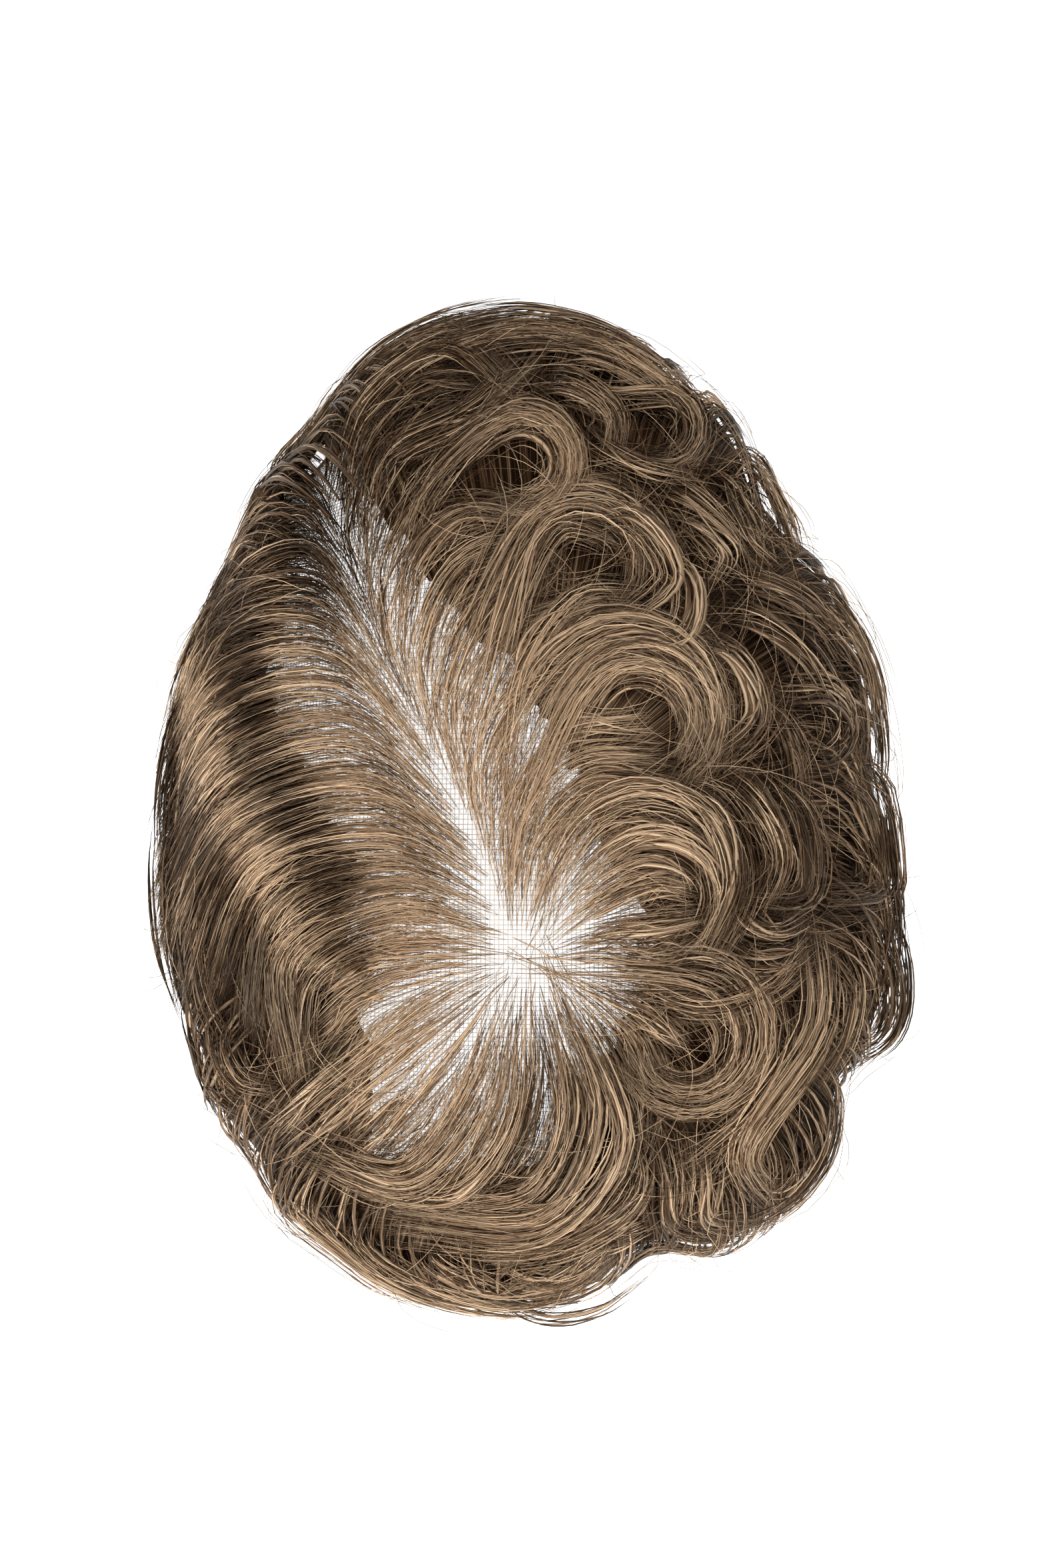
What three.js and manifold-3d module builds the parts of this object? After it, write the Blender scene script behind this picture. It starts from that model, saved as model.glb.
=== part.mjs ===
// A lace hairpiece that lies dome up: a hollow lace base and four sections of parted, curled hair.
// Sizes are in millimetres. +Z is up, +Y goes to the front hairline, +X to the wearer's right.
import * as THREE from 'three';
import { mergeVertices } from 'three/addons/utils/BufferGeometryUtils.js';
import ManifoldModule from 'manifold-3d';

const manifoldKit = await ManifoldModule();
manifoldKit.setup();
const { Manifold, Mesh: ManifoldMesh } = manifoldKit;

const LACE = {
  halfWidth: 74,
  halfLength: 109,
  centreY: 1.5,
  frontTaper: 0.08,
  corner: 2.5,
  height: 60,
  profile: 2.2,
  wall: 1.2,
};

const HAIR = {
  laceGap: 0.35,
  thinLayer: 2.4,
  fullLayer: 8,
  thickensOver: 42,
  partHalfWidth: 2,
  sectionHalfGap: 0.3,
  floorClearance: 0.4,
  lockThickness: 0.31,
  keelDepth: 3,
  segmentLength: 18,
};

const DOME = { around: 36, rings: 7 };

// Short locks that hang round the rim and reach the surface below.
const FRINGE = {
  count: 15,
  segments: 3,
  fromRatio: 0.9,
  toRatio: 0.9985,
  slantDegrees: 9,
  lift: 1.1,
  rootWidth: 17,
  tipWidth: 10,
};

// The parting runs from the crown whorl to the notch at the left temple.
const PARTING = [
  [-5, -29],
  [-10.5, -15],
  [-16, 0],
  [-24, 14],
  [-32, 29],
  [-38, 48],
  [-46, 72],
  [-57, 82],
];
const PARTING_RUN_OUT = [-90, 104];
const PARTING_FRONT_START = 3;

const LEFT_BACK_EDGE = [
  [-8, -36],
  [-28, -42.5],
  [-45, -56],
  [-60, -71.5],
  [-95, -88],
];

const BACK_RIGHT_EDGE = [
  [5, -38],
  [14, -47],
  [19, -62],
  [27, -74],
  [27, -92],
  [30, -140],
];

const RIGHT_FRONT_EDGE = [
  [-22, 19],
  [-17, 44],
  [-7, 63],
  [6, 69.5],
  [20, 76.5],
  [36, 72.5],
  [48, 61],
  [60, 57],
  [110, 62],
];

const FAR_CORNERS = {
  left: [[-130, 60], [-130, -70]],
  back: [[-95, -140]],
  right: [[110, -140]],
  front: [[110, 140], [-90, 140]],
};

// Waves: a lock led through four places on the plan, with its width at the root and at the tip and the
// height of its crest above the hair below it.
const WAVE_COLUMNS = [
  'rootX', 'rootY', 'riseX', 'riseY', 'fallX', 'fallY', 'tipX', 'tipY', 'rootWidth', 'tipWidth', 'crest',
];

const WAVES = {
  left: [
    [-45, 66, -54, 71, -62, 70, -69, 58, 10, 8, 1.5],
    [-40, 52, -53, 60, -68, 55, -78, 42, 12, 10, 2.0],
    [-36, 39, -51, 48, -70, 44, -83, 27, 12, 10, 2.5],
    [-31, 27, -48, 36, -69, 31, -85, 14, 12, 10, 2.5],
    [-27, 15, -45, 25, -69, 19, -84, -2, 12, 10, 2.5],
    [-22, 3, -42, 14, -69, 5, -85, -19, 12, 10, 2.5],
    [-17, -8, -38, 4, -67, -6, -81, -38, 12, 10, 2.5],
    [-13, -17, -34, -6, -61, -12, -73, -46, 10, 9, 3.0],
    [-10, -25, -33, -17, -57, -29, -57, -61, 9, 9, 3.5],
    [-8, -32, -27, -29, -49, -36, -55, -56, 7, 8, 1.0],
    [-74, -42, -76, -55, -70, -66, -58, -69, 10, 7, 1.5],
  ],
  back: [
    [-10, -39, -28, -49, -46, -62, -62, -78, 8, 11, 1.0],
    [-8, -42, -20, -60, -36, -78, -56, -80, 8, 10, 1.5],
    [-4, -43, -9, -71, -24, -88, -48, -83, 8, 11, 2.5],
    [2, -44, 6, -71, -6, -89, -30, -90, 8, 11, 2.5],
    [8, -44, 18, -72, 4, -96, -34, -95, 8, 11, 3.0],
    [22, -72, 23, -88, 10, -100, -13, -104, 9, 9, 2.0],
    [-50, -80, -53, -92, -40, -106, -18, -114, 11, 8, 1.0],
    [-38, -90, -38, -102, -20, -111, 8, -113, 11, 8, 1.5],
    [-10, -100, -6, -109, 8, -110, 24, -101, 10, 7, 1.0],
  ],
  right: [
    [28, 4, 41, 1, 47, -15, 40, -33, 10, 8, 2.5],
    [30, 42, 47, 37, 53, 23, 41, 11, 10, 8, 3.0],
    [4, 67, 24, 71, 34, 55, 14, 39, 9, 7, 2.5],
    [24, 66, 38, 56, 36, 42, 17, 39, 9, 7, 3.5],
    [40, 55, 53, 53, 66, 48, 75, 35, 11, 9, 2.5],
    [62, 54, 73, 47, 81, 36, 82, 22, 9, 8, 1.0],
    [42, 12, 52, 4, 58, -10, 53, -23, 11, 8, 3.0],
    [66, 14, 82, 4, 86, -20, 70, -20, 11, 8, 2.0],
    [24, -38, 40, -43, 55, -39, 65, -29, 9, 8, 2.5],
    [66, -20, 68, -48, 50, -80, 60, -94, 11, 9, 4.0],
    [58, -36, 60, -52, 52, -68, 34, -84, 11, 9, 2.0],
    [80, -26, 87, -43, 82, -57, 69, -58, 10, 8, 1.5],
    [66, -60, 71, -74, 65, -89, 46, -98, 10, 8, 1.5],
    [36, -70, 38, -84, 38, -95, 50, -98, 11, 8, 1.5],
  ],
  front: [
    [-49, 86, -40, 101, -22, 112, 2, 114, 9, 10, 0.5],
    [-44, 78, -40, 96, -20, 110, -4, 98, 10, 7, 2.5],
    [-37, 62, -34, 84, -15, 94, 1, 108, 10, 8, 3.0],
    [-29, 44, -28, 60, -17, 71, -2, 71, 8, 7, 1.5],
    [-10, 111, 10, 114, 28, 107, 41, 95, 11, 9, 1.5],
    [-4, 99, 8, 100, 18, 93, 18, 84, 9, 7, 2.5],
    [38, 84, 52, 84, 59, 74, 64, 60, 9, 6, 1.5],
    [22, 79, 36, 76, 47, 67, 54, 61, 9, 7, 2.0],
  ],
};

// Curls: a lock led from its root on to a ring, which it then follows clockwise to its tip.
const CURL_COLUMNS = [
  'rootX', 'rootY', 'ringX', 'ringY', 'outerRadius', 'innerRadius', 'startDegrees', 'sweepDegrees',
  'rootWidth', 'tipWidth', 'crest',
];

const CURLS = {
  left: [],
  back: [],
  right: [
    [2, -25, 29, -19.5, 15.5, 15, 136, 268, 7, 6, 2.5],
    [-4, -12, 26.5, 21, 14.5, 13, 160, 300, 8, 5, 3.0],
    [-6, -4, 26, 22, 19, 18, 152, 215, 9, 7, 3.5],
    [-10, 20, 12, 58, 14, 13, 170, 277, 9, 6, 3.0],
    [52, 34, 67, 20, 10, 8, 110, 255, 9, 5, 2.5],
    [10, -37, 36, -52, 14, 11, 80, 330, 7, 5, 3.0],
    [24, -37, 37, -51, 18.5, 17, 60, 250, 8, 7, 2.5],
  ],
  front: [
    [-34, 54, -2, 82, 11, 13, 120, 290, 9, 5, 3.5],
    [8, 102, 30, 90, 10, 8, 110, 250, 8, 5, 3.0],
  ],
};

// The outline of a lock across its length: two edges, a crest and a broad keel down into the hair below.
const LOCK_OUTLINE = [
  { across: 1, up: 0.2 },
  { across: 1, keel: true },
  { across: -1, keel: true },
  { across: -1, up: 0.2 },
  { across: 0, up: 1 },
];

const COLOURS = { lace: 0xefe9df, hair: 0x6b563f };

function namedRow(columns, row) {
  return Object.fromEntries(columns.map((column, index) => [column, row[index]]));
}

function smoothStep(value) {
  const t = THREE.MathUtils.clamp(value, 0, 1);
  return t * t * (3 - 2 * t);
}

// How far out a place on the plan lies on the dome of the given layer: 0 at the crown, 1 at the rim.
function domeRatio(x, y, layer) {
  const along = (y - LACE.centreY) / (LACE.halfLength + layer);
  const across = x / ((LACE.halfWidth + layer) * (1 - LACE.frontTaper * along));
  const power = LACE.corner;
  return (Math.abs(across) ** power + Math.abs(along) ** power) ** (1 / power);
}

function domeHeight(x, y, layer) {
  const ratio = Math.min(domeRatio(x, y, layer), 1);
  return (LACE.height + layer) * Math.sqrt(1 - ratio ** LACE.profile);
}

// The place on the dome at a bearing and a ratio, before its height is known.
function domePlan(bearing, ratio, layer) {
  const power = 2 / LACE.corner;
  const cosine = Math.cos(bearing);
  const sine = Math.sin(bearing);
  const along = ratio * Math.sign(sine) * Math.abs(sine) ** power;
  const across = ratio * Math.sign(cosine) * Math.abs(cosine) ** power;
  const x = across * (LACE.halfWidth + layer) * (1 - LACE.frontTaper * along);
  return new THREE.Vector2(x, LACE.centreY + along * (LACE.halfLength + layer));
}

function distanceToParting(x, y) {
  const place = new THREE.Vector3(x, y, 0);
  const nearest = new THREE.Vector3();
  const piece = new THREE.Line3();
  let least = Infinity;
  for (let i = 0; i + 1 < PARTING.length; i += 1) {
    piece.start.set(PARTING[i][0], PARTING[i][1], 0);
    piece.end.set(PARTING[i + 1][0], PARTING[i + 1][1], 0);
    piece.closestPointToPoint(place, true, nearest);
    least = Math.min(least, nearest.distanceTo(place));
  }
  return least;
}

// The hair lies thin beside the parting and whorl and thickens away from them.
function hairLayer(x, y) {
  const share = smoothStep(distanceToParting(x, y) / HAIR.thickensOver);
  return HAIR.thinLayer + (HAIR.fullLayer - HAIR.thinLayer) * share;
}

function ringRatios() {
  return Array.from({ length: DOME.rings + 1 }, (_, i) => Math.sin((Math.PI / 2) * (i / DOME.rings)));
}

// A sheet of dome points, ring by ring from the crown to the rim, at a layer that may change with place.
function domeRings(layerAt) {
  return ringRatios().map((ratio) => {
    const ring = [];
    for (let i = 0; i < DOME.around; i += 1) {
      const bearing = (i / DOME.around) * Math.PI * 2;
      const guess = domePlan(bearing, ratio, 0);
      const layer = layerAt(guess.x, guess.y);
      const place = domePlan(bearing, ratio, layer);
      const height = (LACE.height + layer) * Math.sqrt(Math.max(0, 1 - ratio ** LACE.profile));
      ring.push(new THREE.Vector3(place.x, place.y, height));
    }
    return ring;
  });
}

// Joins rings of equal count into a closed body; the first and last rings are closed with a middle point.
function bodyFromRings(rings) {
  const count = rings[0].length;
  const points = rings.flat();
  const faces = [];
  for (let r = 0; r + 1 < rings.length; r += 1) {
    for (let i = 0; i < count; i += 1) {
      const next = (i + 1) % count;
      const a = r * count + i;
      const b = r * count + next;
      const c = (r + 1) * count + next;
      const d = (r + 1) * count + i;
      faces.push(a, c, b, a, d, c);
    }
  }
  const lastStart = (rings.length - 1) * count;
  const firstMiddle = points.length;
  const lastMiddle = firstMiddle + 1;
  points.push(middleOf(rings[0]), middleOf(rings[rings.length - 1]));
  for (let i = 0; i < count; i += 1) {
    const next = (i + 1) % count;
    faces.push(firstMiddle, i, next);
    faces.push(lastMiddle, lastStart + next, lastStart + i);
  }
  const geometry = new THREE.BufferGeometry().setFromPoints(points);
  geometry.setIndex(faces);
  return geometry;
}

function middleOf(ring) {
  return ring.reduce((sum, point) => sum.add(point), new THREE.Vector3()).divideScalar(ring.length);
}

function domeSolid(layerAt) {
  const rings = domeRings(layerAt);
  return toSolid(bodyFromRings(rings));
}

function toSolid(geometry) {
  const plain = new THREE.BufferGeometry();
  plain.setAttribute('position', geometry.getAttribute('position'));
  plain.setIndex(geometry.getIndex());
  const merged = mergeVertices(plain, 1e-4);
  const mesh = new ManifoldMesh({
    numProp: 3,
    vertProperties: new Float32Array(merged.getAttribute('position').array),
    triVerts: new Uint32Array(merged.getIndex().array),
  });
  mesh.merge();
  return new Manifold(mesh);
}

function toGeometry(solid) {
  const mesh = solid.getMesh();
  const geometry = new THREE.BufferGeometry();
  const places = new Float32Array(mesh.numVert * 3);
  for (let i = 0; i < mesh.numVert; i += 1) {
    for (let axis = 0; axis < 3; axis += 1) {
      places[i * 3 + axis] = mesh.vertProperties[i * mesh.numProp + axis];
    }
  }
  geometry.setAttribute('position', new THREE.BufferAttribute(places, 3));
  geometry.setIndex(Array.from(mesh.triVerts));
  geometry.computeVertexNormals();
  return geometry;
}

// The plan path of a wave passes through its four places.
function wavePlan(wave) {
  return new THREE.CatmullRomCurve3([
    new THREE.Vector3(wave.rootX, wave.rootY, 0),
    new THREE.Vector3(wave.riseX, wave.riseY, 0),
    new THREE.Vector3(wave.fallX, wave.fallY, 0),
    new THREE.Vector3(wave.tipX, wave.tipY, 0),
  ], false, 'centripetal');
}

function ringPlace(curl, share) {
  const turn = THREE.MathUtils.degToRad(curl.startDegrees - share * curl.sweepDegrees);
  const radius = THREE.MathUtils.lerp(curl.outerRadius, curl.innerRadius, share);
  return new THREE.Vector3(curl.ringX + radius * Math.cos(turn), curl.ringY + radius * Math.sin(turn), 0);
}

// The plan path of a curl bends from its root on to the ring and follows the ring round.
function curlPlan(curl) {
  const ringStart = ringPlace(curl, 0);
  const turn = THREE.MathUtils.degToRad(curl.startDegrees);
  const root = new THREE.Vector3(curl.rootX, curl.rootY, 0);
  const reach = 0.5 * root.distanceTo(ringStart);
  const lead = new THREE.QuadraticBezierCurve3(
    root,
    ringStart.clone().add(new THREE.Vector3(-Math.sin(turn), Math.cos(turn), 0).multiplyScalar(reach)),
    ringStart,
  );
  const ringStops = Math.max(5, Math.round(curl.sweepDegrees / 36));
  const places = [root, lead.getPoint(0.5)];
  for (let i = 0; i <= ringStops; i += 1) {
    places.push(ringPlace(curl, i / ringStops));
  }
  return new THREE.CatmullRomCurve3(places, false, 'centripetal');
}

function crestShare(share) {
  return Math.sin(Math.PI * Math.min(1, 0.06 + 0.94 * share)) ** 0.8;
}

function lockLayer(lift, x, y) {
  let layer = hairLayer(x, y) + lift;
  while (domeRatio(x, y, layer) > 0.995) {
    layer += 0.25;
  }
  return layer;
}

function surfaceNormal(x, y, layer) {
  const step = 0.5;
  const inward = 0.97;
  const px = x * inward;
  const py = LACE.centreY + (y - LACE.centreY) * inward;
  const slopeX = (domeHeight(px + step, py, layer) - domeHeight(px - step, py, layer)) / (2 * step);
  const slopeY = (domeHeight(px, py + step, layer) - domeHeight(px, py - step, layer)) / (2 * step);
  return new THREE.Vector3(-slopeX, -slopeY, 1).normalize();
}

function lockWidth(lock, share) {
  const even = THREE.MathUtils.lerp(lock.rootWidth, lock.tipWidth, share);
  const rootEnd = THREE.MathUtils.lerp(0.4, 1, smoothStep(share / 0.3));
  const tipEnd = THREE.MathUtils.lerp(0.35, 1, smoothStep((1 - share) / 0.35));
  return even * rootEnd * tipEnd;
}

// The middle line of a lock that follows a path on the plan, riding on the hair below it.
function lockMiddles(lock, plan) {
  const turns = (lock.sweepDegrees ?? 0) / 36;
  const segments = Math.max(4, Math.round(plan.getLength() / HAIR.segmentLength), Math.round(turns + 3));
  const middles = [];
  for (let i = 0; i <= segments; i += 1) {
    const share = i / segments;
    const place = plan.getPointAt(share);
    const lift = lock.crest * crestShare(share);
    const layer = lockLayer(lift, place.x, place.y);
    const normal = surfaceNormal(place.x, place.y, layer);
    place.z = domeHeight(place.x, place.y, layer);
    middles.push({ place, normal, width: lockWidth(lock, share), depth: lift + HAIR.keelDepth });
  }
  return middles;
}

// The middle line of a fringe lock, which drops down the steep edge of the dome.
function fringeMiddles(index) {
  const startBearing = (index / FRINGE.count) * Math.PI * 2;
  const slant = THREE.MathUtils.degToRad(FRINGE.slantDegrees) * Math.sign(Math.cos(startBearing) || 1);
  const middles = [];
  for (let i = 0; i <= FRINGE.segments; i += 1) {
    const share = i / FRINGE.segments;
    const bearing = startBearing - slant * share;
    const ratio = THREE.MathUtils.lerp(FRINGE.fromRatio, FRINGE.toRatio, smoothStep(share) * 0.5 + share * 0.5);
    const guess = domePlan(bearing, ratio, 0);
    const layer = hairLayer(guess.x, guess.y) + FRINGE.lift * crestShare(share * 0.8);
    const plan = domePlan(bearing, ratio, layer);
    const height = (LACE.height + layer) * Math.sqrt(1 - ratio ** LACE.profile);
    middles.push({
      place: new THREE.Vector3(plan.x, plan.y, height),
      normal: surfaceNormal(plan.x, plan.y, layer),
      width: lockWidth(FRINGE, share),
      depth: FRINGE.lift + HAIR.keelDepth,
    });
  }
  return middles;
}

// A lock is a ridge with a crest and a keel, drawn along its middle line.
function lockSolid(middles) {
  const rings = middles.map((middle, i) => {
    const before = middles[Math.max(0, i - 1)].place;
    const after = middles[Math.min(middles.length - 1, i + 1)].place;
    const ahead = after.clone().sub(before).normalize();
    const side = new THREE.Vector3().crossVectors(middle.normal, ahead).normalize();
    const up = new THREE.Vector3().crossVectors(ahead, side).normalize();
    return LOCK_OUTLINE.map((corner) => {
      const rise = corner.keel ? -middle.depth : corner.up * middle.width * HAIR.lockThickness;
      const point = middle.place.clone();
      point.addScaledVector(side, corner.across * middle.width / 2);
      point.addScaledVector(up, rise);
      point.z = Math.max(point.z, HAIR.floorClearance);
      return point;
    });
  });
  return toSolid(bodyFromRings(rings));
}

function hairMass() {
  let mass = domeSolid(hairLayer);
  for (let i = 0; i < FRINGE.count; i += 1) {
    mass = mass.add(lockSolid(fringeMiddles(i)));
  }
  return mass;
}

function shiftedLine(line, distance) {
  return line.map((place, i) => {
    const before = line[Math.max(0, i - 1)];
    const after = line[Math.min(line.length - 1, i + 1)];
    const ahead = new THREE.Vector2(after[0] - before[0], after[1] - before[1]).normalize();
    return [place[0] - ahead.y * distance, place[1] + ahead.x * distance];
  });
}

// The plan region of each section, kept clear of its neighbours.
function sectionRegion(name) {
  const part = HAIR.partHalfWidth;
  const gap = HAIR.sectionHalfGap;
  const partingLine = [...PARTING, PARTING_RUN_OUT];
  const partingFront = partingLine.slice(PARTING_FRONT_START);
  const partingCrown = PARTING.slice(0, PARTING_FRONT_START + 1);
  const edges = {
    left: [shiftedLine(partingLine, part), FAR_CORNERS.left, shiftedLine(LEFT_BACK_EDGE, -gap).reverse()],
    back: [shiftedLine(LEFT_BACK_EDGE, gap), FAR_CORNERS.back, shiftedLine(BACK_RIGHT_EDGE, -gap).reverse()],
    right: [
      shiftedLine(BACK_RIGHT_EDGE, gap),
      FAR_CORNERS.right,
      shiftedLine(RIGHT_FRONT_EDGE, -gap).reverse(),
      shiftedLine(partingCrown, -part).reverse(),
    ],
    front: [
      shiftedLine(RIGHT_FRONT_EDGE, gap),
      FAR_CORNERS.front,
      shiftedLine(partingFront, -part).reverse(),
    ],
  };
  const outline = edges[name].flat().map(([x, y]) => new THREE.Vector2(x, y));
  const height = LACE.height + 60;
  const region = new THREE.ExtrudeGeometry(new THREE.Shape(outline), { depth: height, bevelEnabled: false });
  region.translate(0, 0, -height / 4);
  return toSolid(region);
}

function hairSection(name, mass, headRoom) {
  const waves = WAVES[name].map((row) => namedRow(WAVE_COLUMNS, row));
  const curls = CURLS[name].map((row) => namedRow(CURL_COLUMNS, row));
  const locks = [
    ...waves.map((wave) => lockSolid(lockMiddles(wave, wavePlan(wave)))),
    ...curls.map((curl) => lockSolid(lockMiddles(curl, curlPlan(curl)))),
  ];
  const section = locks.reduce((joined, lock) => joined.add(lock), mass);
  return section.intersect(sectionRegion(name)).subtract(headRoom);
}

function laceBase() {
  const outside = domeSolid(() => 0);
  const inside = domeSolid(() => -LACE.wall);
  return outside.subtract(inside.add(inside.translate([0, 0, -LACE.wall])));
}

function namedMesh(name, solid, material) {
  const mesh = new THREE.Mesh(toGeometry(solid), material);
  mesh.name = name;
  return mesh;
}

const laceMaterial = new THREE.MeshStandardMaterial({ name: 'lace', color: COLOURS.lace, roughness: 0.8 });
const hairMaterial = new THREE.MeshStandardMaterial({ name: 'hair', color: COLOURS.hair, roughness: 0.5 });

const hairpiece = new THREE.Group();
hairpiece.name = 'lace_front_wig';
hairpiece.add(namedMesh('lace_base', laceBase(), laceMaterial));

const mass = hairMass();
const headRoom = domeSolid(() => HAIR.laceGap);
for (const name of ['left', 'front', 'right', 'back']) {
  hairpiece.add(namedMesh(`${name}_hair`, hairSection(name, mass, headRoom), hairMaterial));
}

// The origin is below the middle of the whole hairpiece.
const overall = new THREE.Box3().setFromObject(hairpiece);
const middle = overall.getCenter(new THREE.Vector3());
hairpiece.position.set(-middle.x, -middle.y, -overall.min.z);

export default hairpiece;
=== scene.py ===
import math

import bmesh
import bpy
import numpy as np
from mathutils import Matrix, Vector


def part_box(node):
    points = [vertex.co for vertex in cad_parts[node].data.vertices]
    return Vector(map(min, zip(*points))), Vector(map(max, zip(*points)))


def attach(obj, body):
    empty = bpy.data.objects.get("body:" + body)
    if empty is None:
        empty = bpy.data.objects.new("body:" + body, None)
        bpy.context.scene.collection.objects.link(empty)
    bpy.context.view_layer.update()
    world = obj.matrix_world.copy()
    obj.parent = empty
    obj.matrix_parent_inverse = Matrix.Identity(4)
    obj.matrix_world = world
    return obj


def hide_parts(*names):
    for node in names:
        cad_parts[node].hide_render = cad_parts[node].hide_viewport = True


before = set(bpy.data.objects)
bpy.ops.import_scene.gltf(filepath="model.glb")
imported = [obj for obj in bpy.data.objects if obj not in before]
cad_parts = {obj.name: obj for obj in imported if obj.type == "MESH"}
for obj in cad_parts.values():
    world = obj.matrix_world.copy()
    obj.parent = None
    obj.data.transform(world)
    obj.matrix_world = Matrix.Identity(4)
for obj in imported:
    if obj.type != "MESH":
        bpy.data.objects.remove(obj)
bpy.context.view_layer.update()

bl_info = {
    "name": "Lace Hairpiece",
    "version": (1, 0, 0),
    "blender": (4, 5, 0),
    "location": "View3D > Sidebar > Hairpiece",
    "description": "Strands, fringe and lace net of a parted, curled hairpiece",
    "category": "Object",
}

LACE_BOX = np.array(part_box("lace_base"))
MM = 0.001

# The lace dome and the hair that lies on it, in millimetres, as in the solids.
LACE_HALF_WIDTH = 74.0
LACE_HALF_LENGTH = 109.0
LACE_CENTRE_Y = 1.5
LACE_FRONT_TAPER = 0.08
LACE_CORNER = 2.5
LACE_HEIGHT = 60.0
LACE_PROFILE = 2.2
THIN_LAYER = 2.4
FULL_LAYER = 8.0
THICKENS_OVER = 42.0
RIM_RATIO = 0.995
FLOOR_CLEARANCE = 0.5

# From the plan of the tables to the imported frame, in millimetres.
PLAN_SHIFT = LACE_BOX.mean(axis=0) / MM - np.array((0.0, LACE_CENTRE_Y, LACE_BOX[:, 2].mean() / MM))

PARTING = np.array([
    (-5, -29), (-10.5, -15), (-16, 0), (-24, 14), (-32, 29), (-38, 48), (-46, 72), (-57, 82),
], dtype=float)

# The outline of the hair seen from above: an egg that narrows to the front.
OUTLINE_HALF_WIDTH = 89.0
OUTLINE_HALF_LENGTH = 121.0
OUTLINE_CENTRE_X = -1.0
OUTLINE_CENTRE_Y = 1.0
OUTLINE_LEAN = -2.5
OUTLINE_TAPER = 0.16
OUTLINE_SOFT = 0.05
LACE_SPARE = -0.06

# Dips in the outline between locks, and bulges where the depth is negative. Columns: bearing and reach in
# degrees, and depth.
OUTLINE_DIPS = (
    (-73, 8, 0.10),
    (-35, 6, 0.06),
    (-22, 7, -0.03),
    (-4, 8, 0.02),
    (16, 8, -0.02),
    (38, 7, 0.09),
    (130, 8, 0.035),
    (150, 8, 0.015),
    (164, 7, -0.02),
    (190, 9, 0.01),
    (208, 5, 0.03),
    (225, 6, 0.035),
    (240, 7, 0.025),
)

PATH_SAMPLES = 49
BEND_WEIGHT = 0.6
WISP_SEGMENTS = 14
WISP_SIDES = 3
RIM_SIDES = 6
STRAND_SEGMENTS = 10
STRAND_SIDES = 3
SHORT_SEGMENTS = 4
RIM_SEGMENTS = 8

# Strands show singly near the parting, so more of them are drawn there than where they lie under others.
# They join a lock along the first share of it.
FAR_ROOTS = 0.12
NEAR_ROOTS_WITHIN = 40.0
ROOTS_ALONG = 0.76

# Patches painted lighter or darker than the rest: mostly painted light and shade, partly the hair's own tone.
# Columns: place, reach and change of tone.
PAINTED_LIGHT_PATCHES = (
    (-48, 12, 24, 0.16),
    (60, -66, 12, -0.04),
    (20, -15, 22, 0.30),
    (0, 26, 22, 0.60),
    (34, 22, 18, 0.27),
    (36, -52, 16, 0.20),
    (-24, -60, 22, 0.62),
    (-28, -38, 16, 0.30),
    (-28, -4, 9, -0.12),
    (-36, 10, 9, -0.06),
    (-2, -62, 16, -0.10),
    (-25, 95, 26, -0.38),
    (20, 100, 14, 0.20),
    (-64, 60, 26, -0.85),
    (-68, -44, 18, -0.72),
    (72, -5, 30, -0.12),
    (82, -18, 16, -0.12),
    (-2, 82, 14, 0.30),
    (66, 24, 16, -0.14),
    (35, 60, 16, -0.07),
    (-80, 2, 18, -0.34),
    (10, -84, 16, -0.12),
    (80, -14, 14, -0.16),
    (50, -15, 14, -0.22),
    (-10, -105, 18, 0.05),
)
# Painted light: strands near the parting are painted lighter, as thin hair lit through from below, fading out
# towards the front.
PARTING_GLOW = 0.62
PARTING_GLOW_WITHIN = 23.0
PARTING_GLOW_FRONT = 76.0
PARTING_GLOW_FADES_OVER = 44.0

# The whorl, and patches beside it where the lace shows between the strands. Columns: place, and how much
# less bare the patch is than the parting.
WHORL = (-1.0, -35.0)
THIN_PATCH = (-25.0, -60.0)
THIN_PATCHES = (
    (-25, -60, 0),
    (-28, -40, 0),
    (-32, -20, 7),
    (-4, -58, 6),
)

# The sector round the whorl with the fewest strands, as a bearing and half width in radians, how far it
# reaches, and the share of long and of short strands that it lacks.
THIN_BEARING = 3.65
THIN_HALF_WIDTH = 0.72
THIN_REACH = 50.0
THIN_LONG = 0.86
THIN_SHORT = 0.42

# Short strands root beside the parting and in a ring round the whorl.
SHORT_ROOTS_WITHIN = 17.0
WHORL_RING = 22.0
WHORL_RING_WIDTH = 15.0

# Locks that root by the parting are led back to it, and open like a fan from a share of their width to
# all of it over a length.
ROOTS_BY_PARTING = 22.0
LED_BACK_LEAST = 1.0
LED_BACK_MOST = 14.0
FAN_START = 0.42
FAN_OVER = 32.0

# A lock has a round top, as a share of its width, and lies lower where it is flat.
ROUND_TOP = 0.28
FLAT_LOCK_TOP = 0.3
FLAT_LOCK_WISPS = 0.6

# Wisps keep clear of the parting and are flat tubes that lean with the round top of their lock. Some wisps
# and strands are loose.
WISPS_CLEAR = 14.0
FLAT_WISPS_CLEAR = 26.0
WISP_FLATNESS = 0.34
WISP_LEAN = -1.12
LOOSE_WISPS = 0.24
LOOSE_STRANDS = 0.2

# Tone runs from 0, dark, to 1, light.
WISP_TONE = 0.27
WISP_TONE_SPREAD = 0.26
# The middle of each lock is painted lighter and its sides darker, as painted light and shade.
CREST_PAINTED_LIGHT = 0.48
STRAND_TONE = 0.42
STRAND_TONE_SPREAD = 0.33
# Short strands are painted lighter, as thin hair lit through from below.
SHORT_STRAND_GLOW = 0.24
STRAY_TONE = 0.55
RIM_TONE = 0.36
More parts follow.
